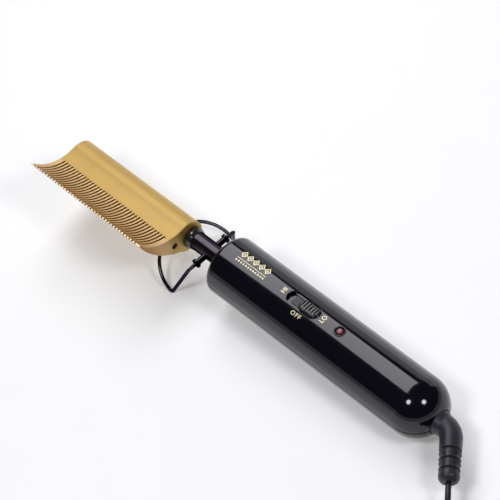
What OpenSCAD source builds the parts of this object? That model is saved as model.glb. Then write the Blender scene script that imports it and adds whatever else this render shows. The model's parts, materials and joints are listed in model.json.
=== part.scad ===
// Electric hot comb with a round handle, a folding wire stand, a three-position
// slide switch and a mains lead on a swivelling elbow.
// Millimetres, +Z up. The comb rests on the two feet of its stand and on the
// underside of the handle's round end, with the comb end raised.
// Inside the modules, x runs along the handle's axis from its front rim (x = 0)
// to its round end, and place() tips that axis to the resting angle.

/* [Handle] */
// Diameter of the handle
handle_d = 33; // [31:0.5:36]
// Length from the front rim to the end of the round end
handle_len = 150; // [146:1:165]
// Wall of the two shells
wall = 2.2; // [1.9:0.1:2.5]
// Radius that rounds the front rim
front_round = 3; // [1.5:0.5:4]

/* [Comb head] */
// Number of slots sawn in the blade
slot_count = 38; // [24:1:42]
// Distance from one slot to the next
tooth_pitch = 2.2; // [2:0.05:2.4]
// Width of each slot
slot_w = 0.9; // [0.6:0.05:1.1]
// Solid blade before the first slot and after the last
end_margin = 3.9; // [3:0.1:5]
// Radius of the round spine
spine_r = 9.2; // [9:0.1:9.8]
// Thinnest wall round the collar's seat in the spine
collar_wall = 0.75; // [0.6:0.05:0.9]
// Radius of the hollow face of the blade
hollow_r = 24.4; // [23.8:0.1:25]
// Radius of the back of the blade
back_r = 42; // [41.5:0.1:42.6]

/* [Neck] */
// Diameter of the neck tube
neck_d = 10.2; // [9.8:0.1:10.8]
// Length of neck between the handle and the comb head
neck_show = 27.8; // [26:0.2:32]
// Diameter of the heater bore in the spine
heater_bore_d = 10; // [9.4:0.1:10.4]

/* [Stand] */
// Diameter of the stand's wire
wire_d = 2; // [1.8:0.1:2.2]
// Distance of the stand's pivot in front of the handle
pivot_fwd = 12.9; // [12:0.1:14]
// Half of the width across the pivot tube
pivot_half = 11; // [10:0.1:12]
// Half of the width across the wire's upper bends
bend_half = 16; // [15:0.1:17]
// Half of the width across the feet
foot_half = 22.4; // [21:0.1:24]
// Depth of the feet below the handle's axis
foot_drop = 23.4; // [22.5:0.1:25]
// Distance of the feet in front of the pivot
foot_fwd = 12.7; // [11.5:0.1:14]
// Straight part of each side of the arch
arch_leg = 1.9; // [1:0.1:3]

/* [Switch and lamp] */
// Travel of the slide switch from HI to LO
travel = 8; // [6:0.5:9]
// Length of the sliding button
button_len = 13; // [12:0.5:14]
// Width of the sliding button
button_w = 7.6; // [7:0.1:8]
// Distance of the middle of the travel from the front rim
switch_x = 59.5; // [58:0.5:62]
// Distance of the lamp from the front rim
lamp_x = 84.5; // [84:0.5:88]
// Outer diameter of the lamp's bezel
bezel_d = 6.4; // [6:0.1:7]

/* [Cord] */
// Diameter of the mains cord
cord_d = 3; // [2.9:0.05:3.1]
// Angle of the elbow
elbow_angle = 50; // [40:1:55]
// Diameter of the elbow's grooved end
elbow_d = 10.4; // [10:0.1:11]
// Straight length of the elbow beyond its bend
elbow_straight = 23.8; // [22:0.2:26]
// Turns of the coil, side by side and on each other
coil_rows = 4; // [3:1:4]
// Radius of the coil to the middle of its turns
coil_r = 18; // [17:0.5:19]

/* [Plug] */
// Length of the plug's body
plug_len = 25; // [22:0.5:28]
// Distance between the blades' middles
blade_gap = 12.7; // [12.7:0.1:12.7]
// Radius of the hole in each blade
blade_hole_r = 1.6; // [1.5:0.05:1.65]

/* [Hidden] */

fit = 0.05;          // radial clearance of a running fit
seat = 0.3;          // clearance between parts that move past each other
e = 0.01;

// Handle
handle_r = handle_d / 2;
dome_x = handle_len - handle_r;
in_r = handle_r - wall;
groove_h = 0.35;                     // parting groove of the shells
groove_depth = 0.5;
gold = [0.80, 0.64, 0.36];
black = [0.06, 0.055, 0.08];
steel = [0.72, 0.72, 0.74];
copper = [0.78, 0.46, 0.25];

// Head
head_x1 = -neck_show;
head_len = (slot_count - 1) * tooth_pitch + 2 * end_margin;
head_x0 = head_x1 - head_len;
back_c = [10, 33];                   // centre of the blade's back face
hollow_side = 102.3;                 // direction of the hollow face's centre from the spine's
tip_cut = [-30.9, 22.6];             // the teeth end on a line through here
tip_angle = 26;
spine_side = 143.4;                  // direction of the spine's centre from the bore
spine_join = 0.03;                   // depth to which the hollow face runs into the spine
neck_r = neck_d / 2;
neck_in_r = neck_r - 1;
collar_r = neck_r + 1.2;
spine_c = (spine_r - collar_r - collar_wall) * [cos(spine_side), sin(spine_side)];
hollow_c = spine_c + (spine_r + hollow_r - spine_join) * [cos(hollow_side), sin(hollow_side)];
collar_in = 8;                       // depth of the collar in the head
bore_r = heater_bore_d / 2;
bore_x0 = head_x0 + 8;               // closed end of the heater bore
bore_x1 = head_x1 - collar_in;       // where the heater bore meets the collar
heater_x1 = bore_x1 - 4;
sensor_y = -11.3;
sensor_z = 3.2;
sensor_r = 1.8;
sensor_depth = 12.5;

flange_x = 14;                       // plate that locks the neck in the handle

// Stand
wire_r = wire_d / 2;
bent_r = 0.965 * wire_r;             // bending draws the wire slightly thinner
lap = 0.15;                          // straight wire carried into each bend
upper_bend_r = 3;
foot_bend_r = 1.6;
pivot_x = -pivot_fwd;
pivot_tube_r = wire_r + fit + 0.65;
washer_r = pivot_tube_r + 0.9;
washer_t = 1.2;
foot_x = pivot_x - foot_fwd;
spine_low = spine_c[1] - spine_r;
arch_h = foot_half + arch_leg;
// The arch rises until it lies just under the spine, which is the stand's stop
arch_angle = asin((foot_drop + spine_low - seat - wire_r) / arch_h);
upper_pt = [pivot_x, bend_half, 0];
foot_pt = [foot_x, foot_half, -foot_drop];
arm_d = unit(foot_pt - upper_pt);
leg_d = [-cos(arch_angle), 0, sin(arch_angle)];
upper_cut = upper_bend_r * tan(acos(arm_d[1]) / 2);
foot_cut = foot_bend_r * tan(acos(arm_d * leg_d) / 2);
foot_n = unit(cross(arm_d, leg_d));
foot_c = foot_pt - arm_d * foot_cut + unit(leg_d - arm_d * (arm_d * leg_d)) * foot_bend_r;

// Rest: a plane under the bends at both feet and under the round end
function foot_reach(a) = bent_r
    + foot_bend_r * sqrt(1 - pow(foot_n * [sin(a), 0, -cos(a)], 2));
function rest_angle(r) = atan2(-foot_c[2], dome_x - foot_c[0])
    - asin((handle_r - r) / norm([dome_x - foot_c[0], foot_c[2]]));
tilt = rest_angle(foot_reach(rest_angle(foot_reach(3))));

// Switch and lamp, heights above the handle's axis
board_z = handle_r - 11.3;
board_t = 1.6;
board_top = board_z + board_t;
board_x0 = 42;
board_half = 11;
recess_gap = 0.6;                    // past the button at each end of its travel
recess_len = travel + button_len + 2 * recess_gap;
recess_w = button_w + 0.8;
floor_z = handle_r - 1.6;
pad_z = floor_z - 2.3;
button_x = switch_x + travel / 2;    // at rest, at LO
stem_len = 5.5;
stem_w = 3;
slot_half = (travel + stem_len) / 2 + seat;     // half of the stem's slot in the recess
shield_half = travel / 2 + slot_half + seat;    // the plate covers the slot all the way
shield_w = stem_w + 2;
shield_t = 0.5;
housing_len = 22;
housing_w = 9;
housing_top = pad_z - 0.4;
lens_r = bezel_d / 2 - 1;

// Screws
front_screw_x = 31;
screw_r = 1.5;
boss_r = 4.2;

// Swivel
stem_r = 4.5;
bearing_x0 = dome_x + 4;
bearing_x1 = bearing_x0 + 6;
exit_r = 6.9;
base_r = 6.5;
stem_x0 = dome_x - 2.5;
carrier_x0 = stem_x0 - 14;
rear_screw_x = carrier_x0 - 6;
board_x1 = rear_screw_x - 7;
bend_x = handle_len + 1.6;
bend_r = 10;
tube_r = 5.6;
end_r = elbow_d / 2;
end_round = 3.4;

// Cord
cord_r = cord_d / 2;
turns = coil_rows * coil_rows;
coil_half_w = coil_rows * cord_d / 2;
coil_h = coil_rows * cord_d + 0.1;
plug_z = 6;                          // half the plug's height
blade_t = 1.5;
blade_w = 6.35;
blade_len = 17.5;

// Frame: middle of the box of everything but the cord, its coil and its plug
tip_d = [cos(tip_angle), sin(tip_angle)];
tip_b = (tip_cut - back_c) * tip_d;
tip_q = (tip_cut - back_c) * (tip_cut - back_c);
tip_y = tip_cut[0] - (tip_b + sqrt(tip_b * tip_b - tip_q + back_r * back_r)) * tip_d[0];
elbow_end = [bend_x + bend_r * sin(elbow_angle) + elbow_straight * cos(elbow_angle),
    -bend_r * (1 - cos(elbow_angle)) - elbow_straight * sin(elbow_angle), 0];
box_x0 = head_x0 * cos(tilt) + spine_low * sin(tilt);
box_x1 = (elbow_end[0] - end_round * cos(elbow_angle)) * cos(tilt) + end_round
    + (end_r - end_round) * sqrt(1 - pow(cos(tilt) * cos(elbow_angle), 2));
frame_x = -(box_x0 + box_x1) / 2;
frame_y = -(tip_y + foot_half + wire_r) / 2;
frame_z = handle_r + dome_x * sin(tilt);

function unit(v) = v / norm(v);
// Angles that turn x onto a and y onto b
function turned(a, b) = [atan2(b[2], cross(a, b)[2]), -asin(a[2]), atan2(a[1], a[0])];
function to_frame(p) = [
    p[0] * cos(tilt) + p[2] * sin(tilt) + frame_x,
    p[1] + frame_y,
    -p[0] * sin(tilt) + p[2] * cos(tilt) + frame_z];

module place() {
    translate([frame_x, frame_y, frame_z]) rotate([0, tilt, 0]) children();
}

// Cylinder along x, from x0 to x1
module along_x(x0, x1, r, fn = 64) {
    translate([x0, 0, 0]) rotate([0, 90, 0]) cylinder(r = r, h = x1 - x0, $fn = fn);
}

// Cylinder along y, from y0 to y1
module along_y(y0, y1, r, fn = 64) {
    translate([0, y0, 0]) rotate([-90, 0, 0]) cylinder(r = r, h = y1 - y0, $fn = fn);
}

// Turns a profile of [radius, x] about the x axis
module lathe(fn = 96) {
    rotate([0, 90, 0]) rotate_extrude($fn = fn) children();
}

// Extrudes a profile of [y, z] from x0 to x1
module prism(x0, x1) {
    translate([x0, 0, 0]) rotate([90, 0, 90]) linear_extrude(height = x1 - x0) children();
}

// Round bar from p to q
module bar(p, q, r, fn = 24) {
    d = q - p;
    l = norm(d);
    translate(p) rotate([0, acos(d[2] / l), atan2(d[1], d[0])])
        cylinder(r = r, h = l, $fn = fn);
}

// Round bar through a list of points, with ball corners
module bent_bar(pts, r, fn = 24) {
    for (i = [0 : len(pts) - 2]) bar(pts[i], pts[i + 1], r, fn);
    for (i = [1 : len(pts) - 2]) translate(pts[i]) sphere(r = 1.04 * r, $fn = fn);
}

// Slab with round ends, along x, middle at the origin, from z = 0 up
module oval(l, w, h) {
    translate([-(l - w) / 2, -w / 2, 0]) cube([l - w, w, h]);
    for (s = [-1, 1]) translate([s * (l - w) / 2, 0, 0]) cylinder(d = w, h = h, $fn = 48);
}

// ---------------------------------------------------------------- comb head

// The hollow face of the blade runs into the round spine without a step
module comb_section() {
    join = spine_c + spine_r * [cos(hollow_side), sin(hollow_side)];
    difference() {
        intersection() {
            translate(back_c) circle(r = back_r, $fn = 128);
            translate([join[0] - 40, join[1] - 30]) square([40, 50]);
        }
        translate(hollow_c) circle(r = hollow_r, $fn = 128);
        translate(tip_cut) rotate(tip_angle) translate([-20, 0]) square([40, 30]);
    }
    translate(spine_c) circle(r = spine_r, $fn = 96);
}

module comb_head() {
    color(gold) place() difference() {
        prism(head_x0, head_x1) comb_section();
        for (i = [0 : slot_count - 1])
            prism(head_x0 + end_margin + i * tooth_pitch - slot_w / 2,
                head_x0 + end_margin + i * tooth_pitch + slot_w / 2)
                polygon([[-13.1, 10.5], [-14.9, -4], [-45, -4], [-45, 30], [-13.1, 30]]);
        along_x(bore_x0, head_x1 + 1, bore_r);
        along_x(bore_x1, head_x1 + 1, collar_r);
        translate([0, sensor_y, sensor_z]) along_x(head_x1 - sensor_depth, head_x1 + 1, sensor_r);
        bar([bore_x1 - 1.7, sensor_y, sensor_z], [bore_x1 - 1.7, 0, 0], 1.2);
    }
}

// Slotted grub screw that closes the sensor's hole
module head_screw() {
    color(steel) place() translate([0, sensor_y, sensor_z]) difference() {
        along_x(head_x1 - 5, head_x1 - 0.6, sensor_r);
        translate([head_x1 - 1.7, -3, -0.35]) cube([2, 6, 0.7]);
    }
}

module heat_sensor() {
    color("tan") place() translate([0, sensor_y, sensor_z]) {
        along_x(bore_x1 - 2.8, head_x1 - 5, 1.1);
        translate([bore_x1 - 2.8, 0, 0]) sphere(r = 1.1, $fn = 48);
    }
}

module heater_core() {
    color("white") place() difference() {
        along_x(bore_x0 + 1, heater_x1, bore_r - 1.6);
        for (s = [-1, 1]) translate([0, s * 1.5, 0]) along_x(heater_x1 - 6, heater_x1 + 1, 0.8);
    }
}

// Resistance wire wound side by side on the core
module heater_winding() {
    w0 = bore_x0 + 4;
    w1 = heater_x1 - 4;
    n = 40;
    p = (w1 - w0) / n;
    color(steel) place() lathe() polygon(concat(
        [[bore_r - 1.6, w1], [bore_r - 1.6, w0]],
        [for (i = [0 : n - 1]) each [[bore_r - 1.2, w0 + i * p], [bore_r - 0.9, w0 + (i + 0.5) * p]]],
        [[bore_r - 1.2, w1]]));
}

module heater_sleeve() {
    color("gainsboro") place() difference() {
        along_x(bore_x0 + 0.5, heater_x1, bore_r - fit);
        along_x(bore_x0, heater_x1 + 1, bore_r - 0.7);
    }
}

// Heat-insulating collar between the head and the neck
module head_collar() {
    x1 = head_x1 + 2.3;
    color(black) place() lathe() polygon([
        [neck_in_r - 0.6, bore_x1 + 0.2], [collar_r - fit, bore_x1 + 0.2],
        [collar_r - fit, head_x1 + e], [collar_r - fit, x1], [collar_r - 0.4, x1 + 0.4],
        [neck_r + 0.3, x1 + 2.2], [neck_r, x1 + 2.2],
        [neck_r, bore_x1 + 2.2], [neck_in_r - 0.6, bore_x1 + 2.2]]);
}

// ---------------------------------------------------------------- neck

module neck_tube() {
    color(black) place() difference() {
        along_x(bore_x1 + 2.2, 24, neck_r);
        along_x(bore_x1, 25, neck_in_r);
        translate([pivot_x, 0, 0]) along_y(-neck_r - 2, neck_r + 2, pivot_tube_r);
    }
}

module thermal_fuse() {
    color(steel) place() translate([0, 0, 2.2 - neck_in_r + 1.9]) along_x(2, 14, 1.7);
}

module heater_leads() {
    color("ivory") place() for (s = [-1, 1]) bent_bar([
        [heater_x1 - 4, s * 1.5, 0], [heater_x1 + 1.5, s * 1.5, 0],
        [bore_x1 + 4, s * 1.3, 2.75], [front_screw_x - 5, s * 1.3, 2.75],
        [front_screw_x - 2, s * (boss_r + 1.3), board_z - 1.8],
        [front_screw_x + 5, s * (boss_r + 1.3), board_z - 1.2],
        [board_x0 + 1.8, s * (boss_r + 1.3), board_z - 0.74]], 0.7);
}

module sensor_leads() {
    color("white") place() for (s = [-1, 1]) swept([
        [bore_x1 - 1.7, sensor_y + 1.2, sensor_z + s * 0.5],
        [bore_x1 - 1.7, -4.4, 1.25 + s * 0.45], [bore_x1 + 0.2, s * 0.55 - 1.9, -1.6],
        [bore_x1 + 4, s * 1.1, -2.9], [front_screw_x - 5, s * 1.1, -2.9],
        [front_screw_x - 2, s * (boss_r + 3.3), -1],
        [front_screw_x + 5, s * (boss_r + 3.3), board_z - 2.2],
        [board_x0 + 1.8, s * (boss_r + 3.3), board_z - 0.44]], 0.4, 6);
}

// Steel plate pressed on the neck and held between ribs of the shells
module neck_flange() {
    color(steel) place() difference() {
        intersection() {
            along_x(flange_x, flange_x + 2, in_r - 1.9);
            translate([flange_x - 1, -in_r + 2.9, -20]) cube([4, 2 * in_r - 5.8, 40]);
        }
        along_x(flange_x - 1, flange_x + 3, neck_r);
    }
}

module neck_bush() {
    color("saddlebrown") place() difference() {
        union() {
            along_x(-0.4, 2.5, neck_r + 1.5 - fit);
            along_x(2.5, 4.7, neck_r + 3.2);
        }
        along_x(-1, 5, neck_r);
    }
}

// ---------------------------------------------------------------- stand

module pivot_tube() {
    color(steel) place() translate([pivot_x, 0, 0]) difference() {
        along_y(-pivot_half, pivot_half, pivot_tube_r);
        along_y(-pivot_half - 1, pivot_half + 1, wire_r + fit);
    }
}

module pivot_washers() {
    color(black) place() translate([pivot_x, 0, 0]) for (s = [-1, 1])
        translate([0, s * (pivot_half - washer_t / 2), 0]) difference() {
            along_y(-washer_t / 2, washer_t / 2, washer_r);
            along_y(-washer_t, washer_t, pivot_tube_r);
        }
}

// Arc that rounds the corner p between the directions d1 and d2
module wire_bend(p, d1, d2, b) {
    turn = acos(d1 * d2);
    m = unit(d2 - d1 * (d1 * d2));
    translate(p - d1 * b * tan(turn / 2)) rotate(turned(m, d1)) translate([b, 0, 0])
        rotate([0, 0, 180 - turn]) rotate_extrude(angle = turn, $fn = 96)
            translate([b, 0]) circle(r = bent_r, $fn = 48);
}

// Bent from one wire: two pins in the pivot tube, two arms and the arch between the feet
module stand_wire() {
    color(black) place() {
        for (s = [0, 1]) mirror([0, s, 0]) {
            translate([pivot_x, 0, 0]) along_y(4.5, bend_half - upper_cut + lap, wire_r);
            wire_bend(upper_pt, [0, 1, 0], arm_d, upper_bend_r);
            bar(upper_pt + arm_d * (upper_cut - lap), foot_pt - arm_d * (foot_cut - lap), wire_r, 48);
            wire_bend(foot_pt, arm_d, leg_d, foot_bend_r);
            bar(foot_pt + leg_d * (foot_cut - lap), foot_pt + leg_d * (arch_leg + lap), wire_r, 48);
        }
        translate([foot_x, 0, -foot_drop]) rotate([0, arch_angle, 0])
            translate([-arch_leg, 0, 0]) rotate([0, 0, 90])
                rotate_extrude(angle = 180, $fn = 96)
                    translate([foot_half, 0]) circle(r = bent_r, $fn = 48);
    }
}

// ---------------------------------------------------------------- handle shells

// Profile of the handle as [radius, x]
module handle_profile(r, x0, fr) {
    translate([0, x0 + fr]) square([r, dome_x - x0 - fr]);
    translate([0, x0]) square([r - fr, fr + e]);
    intersection() {
        translate([r - fr, x0 + fr]) circle(r = fr, $fn = 64);
        translate([r - fr, x0]) square([fr, fr]);
    }
    intersection() {
        translate([0, dome_x]) circle(r = r, $fn = 128);
        translate([0, dome_x]) square([r, r]);
    }
}

// Half of the handle, s = 1 for the upper half and -1 for the lower half
module half_space(s) {
    translate([-5, -30, s > 0 ? 0 : -30]) cube([handle_len + 10, 60, 30]);
}

module plan(r, x0, fr) {
    translate([x0, -r + fr]) square([dome_x - x0, 2 * (r - fr)]);
    translate([x0 + fr, -r]) square([dome_x - x0 - fr, 2 * r]);
    for (t = [-1, 1]) translate([x0 + fr, t * (r - fr)]) circle(r = fr, $fn = 64);
    translate([dome_x, 0]) circle(r = r, $fn = 128);
}

// Rib across the cavity with a round opening
module rib(x0, x1, r) {
    difference() {
        along_x(x0, x1, in_r + 0.5);
        along_x(x0 - 1, x1 + 1, r);
    }
}

module shell_half(s) {
    difference() {
        intersection() {
            difference() {
                lathe(128) handle_profile(handle_r, 0, front_round);
                difference() {
                    lathe(128) handle_profile(in_r, 2.4, 1);
                    rib(flange_x - 2.3, flange_x - 0.2, neck_r + 1.5);
                    rib(flange_x + 2.2, flange_x + 4.3, neck_r + 1.5);
                    rib(bearing_x0 - 0.2, bearing_x0 + 1.9, 8.75);
                    rib(bearing_x0 + 4.1, bearing_x0 + 6.2, 8.75);
                }
            }
            half_space(s);
        }
        along_x(-1, 3, neck_r + 1.5);
        along_x(bearing_x1, handle_len + 1, exit_r);
        // Fine groove where the two shells meet
        translate([0, 0, s > 0 ? -e : -groove_h]) linear_extrude(height = groove_h + e) difference() {
            plan(handle_r + 1, -1, front_round);
            plan(handle_r - groove_depth, groove_depth, front_round);
        }
    }
}

module upper_shell() {
    color(black) place() difference() {
        union() {
            shell_half(1);
            intersection() {
                union() {
                    translate([switch_x, 0, pad_z])
                        oval(2 * (shield_half + seat) + travel + 3, recess_w + 3, 4);
                    translate([lamp_x, 0, pad_z]) cylinder(r = bezel_d / 2 + 1.6, h = 4, $fn = 64);
                    for (x = [front_screw_x, rear_screw_x])
                        translate([x, 0, 0]) cylinder(r = 3.2, h = in_r + 1, $fn = 48);
                    for (x = [board_x0 + 4, board_x1 - 4], y = [-8, 8])
                        translate([x, y, board_top]) cylinder(r = 2.2, h = 8, $fn = 48);
                }
                along_x(3, dome_x, in_r + 0.6);
            }
        }
        translate([switch_x, 0, floor_z]) oval(recess_len, recess_w, 5);
        translate([switch_x - slot_half, -stem_w / 2 - seat, pad_z - 1])
            cube([2 * slot_half, stem_w + 2 * seat, 6]);
        // Channel of the shield under the ends of the recess
        translate([switch_x - shield_half - travel / 2 - seat, -shield_w / 2 - seat,
                floor_z - shield_t - seat])
            cube([2 * (shield_half + seat) + travel, shield_w + 2 * seat, shield_t + 2 * seat]);
        translate([lamp_x, 0, pad_z - 1]) cylinder(r = bezel_d / 2, h = 8, $fn = 64);
        for (x = [front_screw_x, rear_screw_x])
            translate([x, 0, -1]) cylinder(r = screw_r, h = 10, $fn = 48);
        for (x = [board_x0 + 4, board_x1 - 4], y = [-8, 8])
            translate([x, y, board_top - 1]) cylinder(r = 0.9, h = 5, $fn = 32);
    }
}

module lower_shell() {
    color(black) place() difference() {
        union() {
            shell_half(-1);
            intersection() {
                union() {
                    for (x = [front_screw_x, rear_screw_x])
                        translate([x, 0, -handle_r]) cylinder(r = boss_r, h = handle_r, $fn = 48);
                    // Cradle of the brush holder
                    translate([carrier_x0 + 1, -8, -handle_r]) cube([12, 16, handle_r - 10.5]);
                }
                along_x(3, dome_x, in_r + 0.6);
            }
        }
        for (x = [front_screw_x, rear_screw_x]) {
            translate([x, 0, -handle_r - 1]) cylinder(r = screw_r, h = handle_r + 2, $fn = 48);
            translate([x, 0, -handle_r - 1]) cylinder(r = 3.1, h = 6, $fn = 48);
        }
    }
}

module shell_screws() {
    color(steel) place() for (x = [front_screw_x, rear_screw_x])
        translate([x, 0, -handle_r + 5]) difference() {
            union() {
                translate([0, 0, -2]) cylinder(r = 2.8, h = 2, $fn = 48);
                cylinder(r = screw_r, h = handle_r + 3, $fn = 48);
            }
            for (a = [0, 90]) rotate(a) translate([-1.7, -0.3, -2.5]) cube([3.4, 0.6, 1.6]);
        }
}

// ---------------------------------------------------------------- switch and board

module circuit_board() {
    color("darkgreen") place() difference() {
        translate([board_x0, -board_half, board_z])
            cube([board_x1 - board_x0, 2 * board_half, board_t]);
        for (x = [board_x0 + 4, board_x1 - 4], y = [-8, 8])
            translate([x, y, board_z - 1]) cylinder(r = 1.1, h = board_t + 2, $fn = 32);
    }
}

module board_screws() {
    color(steel) place() for (x = [board_x0 + 4, board_x1 - 4], y = [-8, 8])
        translate([x, y, board_z]) {
            translate([0, 0, -1.2]) cylinder(r = 1.8, h = 1.2, $fn = 32);
            cylinder(r = 0.9, h = board_t + 3.5, $fn = 32);
        }
}

module switch_housing() {
    color("dimgray") place() difference() {
        translate([switch_x - housing_len / 2, -housing_w / 2, board_top])
            cube([housing_len, housing_w, housing_top - board_top]);
        translate([switch_x - housing_len / 2 + 1, -housing_w / 2 + 1, board_top + 1])
            cube([housing_len - 2, housing_w - 2, housing_top - board_top - 2]);
        translate([switch_x - travel / 2 - 2.4, -1.6, housing_top - 2])
            cube([travel + 4.8, 3.2, 3]);
        for (k = [-3 : 2 : 3]) translate([switch_x + k * 2 - 0.45, -0.45, board_top - 1])
            cube([0.9, 0.9, 3]);
    }
}

// Four flat contacts on the housing's floor, with their tails on the board
module switch_terminals() {
    color(copper) place() for (k = [-3 : 2 : 3]) translate([switch_x + k * 2, 0, board_top]) {
        translate([-1.1, -2.5, 1]) cube([2.2, 5, 0.4]);
        translate([-0.4, -0.4, 0]) cube([0.8, 0.8, 1.2]);
    }
}

module switch_bridge() {
    color(copper) place() translate([button_x - 2.9, -2, board_top + 1.4 + seat])
        cube([5.8, 4, 0.4]);
}

module switch_actuator() {
    base_z = board_top + 1.8 + seat;
    color("whitesmoke") place() union() {
        translate([button_x - 3.2, -3, base_z]) cube([6.4, 6, housing_top - 1 - seat - base_z]);
        translate([button_x - 1.5, -1.2, base_z]) cube([3, 2.4, pad_z + 1.2 - base_z]);
    }
}

// Ribbed button with the stem under it and the shield that hides the stem's slot
module switch_button() {
    top = handle_r + 0.1;
    color(black) place() difference() {
        union() {
            translate([button_x, 0, floor_z + 0.1]) oval(button_len, button_w, top - floor_z - 0.1);
            intersection() {
                translate([button_x, 0, floor_z + 0.1]) oval(button_len - 0.8, button_w - 0.8, 4);
                for (k = [-3 : 3]) translate([button_x + k * 1.7 - 0.4, -5, top - 0.2])
                    cube([0.8, 10, 1]);
            }
            translate([button_x - stem_len / 2, -stem_w / 2, pad_z - 0.2])
                cube([stem_len, stem_w, 3]);
            translate([button_x - shield_half, -shield_w / 2, floor_z - shield_t])
                cube([2 * shield_half, shield_w, shield_t]);
        }
        translate([button_x - 1.55, -1.25, pad_z - 1]) cube([3.1, 2.5, 2.3]);
    }
}

module lamp_bezel() {
    color([0.25, 0.09, 0.1]) place() translate([lamp_x, 0, 0]) difference() {
        translate([0, 0, pad_z]) cylinder(r = bezel_d / 2, h = handle_r + 0.35 - pad_z, $fn = 64);
        translate([0, 0, pad_z - 1]) cylinder(r = lens_r + fit, h = 8, $fn = 64);
    }
}

module lamp_lens() {
    color([0.80, 0.50, 0.50]) place() translate([lamp_x, 0, 0]) {
        translate([0, 0, board_top]) cylinder(r = lens_r, h = handle_r - 0.9 - board_top, $fn = 64);
        translate([0, 0, handle_r - 0.9]) intersection() {
            translate([0, 0, -0.8]) sphere(r = sqrt(lens_r * lens_r + 0.64), $fn = 64);
            cylinder(r = lens_r + 1, h = 4, $fn = 64);
        }
    }
}

module control_chip() {
    color("dimgray") place() translate([50, -4, board_z - 1.6]) cube([6, 8, 1.6]);
}

module triac() {
    color("dimgray") place() translate([74, -5, board_top]) {
        cube([4.5, 10, 4.2]);
        translate([3.2, 0, 4.2 - e]) cube([1.3, 10, 1.4]);
    }
}

module capacitor() {
    color("gold") place() translate([60, -4, board_z - 12]) cube([18, 8, 12]);
}

module resistors() {
    color("peru") place() for (x = [80.4, 83.4, 86.4]) bent_bar([
        [x, -5.6, board_z], [x, -5.6, board_z - 1.8], [x, 5.6, board_z - 1.8],
        [x, 5.6, board_z]], 0.3, 16);
    color("peru") place() for (x = [80.4, 83.4, 86.4]) translate([x, 0, board_z - 1.8])
        along_y(-3.2, 3.2, 1.2, 32);
}

// ---------------------------------------------------------------- cord swivel

module brush_holder() {
    color("dimgray") place() translate([carrier_x0 + 1, -7, -10.5]) cube([12, 14, 2.6]);
}

// Two bent strips that press up towards the slip rings
module brush_springs() {
    color(copper) place() for (x = [carrier_x0 + 3.5, carrier_x0 + 9.5])
        translate([x - 1.1, 0, 0]) {
            translate([0, -4.5, -5.2 - seat - 0.5]) cube([2.2, 9, 0.5]);
            for (s = [-1, 1]) translate([0, s * 4.5 - 0.25, -7.9])
                cube([2.2, 0.5, 7.9 - 5.2 - seat]);
        }
}

module supply_leads() {
    color("firebrick") place() for (k = [0, 1]) bent_bar([
        [carrier_x0 + 3.5 + 6 * k, 5.35 - 10.7 * k, -6.9],
        [carrier_x0 - 2, 6.5 - 13 * k, -5],
        [rear_screw_x - 6, 6.5 - 13 * k, 0],
        [board_x1 - 3, 4.5 - 9 * k, board_z - 0.62]], 0.6);
}

module swivel_bearing() {
    color("ivory") place() difference() {
        union() {
            along_x(bearing_x0, bearing_x1, 8.6);
            along_x(bearing_x0 + 2, bearing_x0 + 4, 10.8);
        }
        along_x(bearing_x0 - 1, bearing_x1 + 1, stem_r + fit);
    }
}

module swivel_clip() {
    color(steel) place() difference() {
        along_x(bearing_x0 - seat - 1.2, bearing_x0 - seat, 7.2);
        along_x(bearing_x0 - 3, bearing_x0, stem_r);
    }
}

module ring_carrier() {
    color("ivory") place() difference() {
        union() {
            along_x(carrier_x0, stem_x0, 4.2);
            along_x(stem_x0 - e, stem_x0 + 5, 2.4);
        }
        along_x(carrier_x0 - 1, stem_x0 + 6, 1.7);
    }
}

module slip_rings() {
    color(copper) place() for (x = [carrier_x0 + 3.5, carrier_x0 + 9.5]) difference() {
        along_x(x - 1.5, x + 1.5, 5.2);
        along_x(x - 2, x + 2, 4.2);
    }
}

module swivel_leads() {
    color("sienna") place() for (s = [-1, 1])
        translate([0, s * 0.85, 0]) along_x(carrier_x0 + 0.5, bend_x - 1.5, 0.6, 24);
}

// Elbow that turns in the bearing: stem, bend and grooved tail, in one moulding
module cord_elbow() {
    l = elbow_straight;
    color(black) place() {
        difference() {
            union() {
                along_x(stem_x0, bend_x - 3, stem_r);
                lathe() polygon([[0, bearing_x1 + seat], [base_r, bearing_x1 + seat],
                    [base_r, bend_x - 2], [tube_r + 0.15, bend_x], [0, bend_x]]);
            }
            along_x(stem_x0 - 1, bend_x - 1.5, 2.4);
        }
        translate([bend_x, -bend_r, 0]) rotate([0, 0, 90 - elbow_angle])
            rotate_extrude(angle = elbow_angle, $fn = 96)
                translate([bend_r, 0]) circle(r = tube_r, $fn = 64);
        translate([bend_x, -bend_r, 0]) rotate([0, 0, -elbow_angle]) translate([0, bend_r, 0])
            difference() {
                lathe() union() {
                    polygon([[0, 0], [tube_r, 0], [end_r, l - 6.6], [end_r, l - end_round],
                        [0, l - end_round]]);
                    translate([0, l - end_round]) square([end_r - end_round, end_round]);
                    intersection() {
                        translate([end_r - end_round, l - end_round])
                            circle(r = end_round, $fn = 64);
                        translate([end_r - end_round, l - end_round]) square(end_round);
                    }
                }
                for (x = [4.4, 9.8, 15.2]) lathe() translate([end_r - 0.75, x - 0.6])
                    square([3, 1.2]);
            }
    }
}

// ---------------------------------------------------------------- cord and plug

// Route of the cord's free stretch: steps from the elbow's end as [x, y, share of
// the exit's height], straight out, down to the ground and into the coil's outer turn
cord_steps = [[0, 0, 1], [1.9, -2.3, 0.997], [3.9, -4.6, 0.99], [5.8, -6.9, 0.944],
    [7.7, -9.2, 0.849], [9.6, -11.5, 0.719], [11.6, -13.8, 0.566], [13.5, -16.1, 0.407],
    [15.4, -18.4, 0.258], [17.3, -20.7, 0.133], [19.3, -23, 0.045], [21.2, -25.3, 0.003],
    [23.1, -27.6, 0]];
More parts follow.
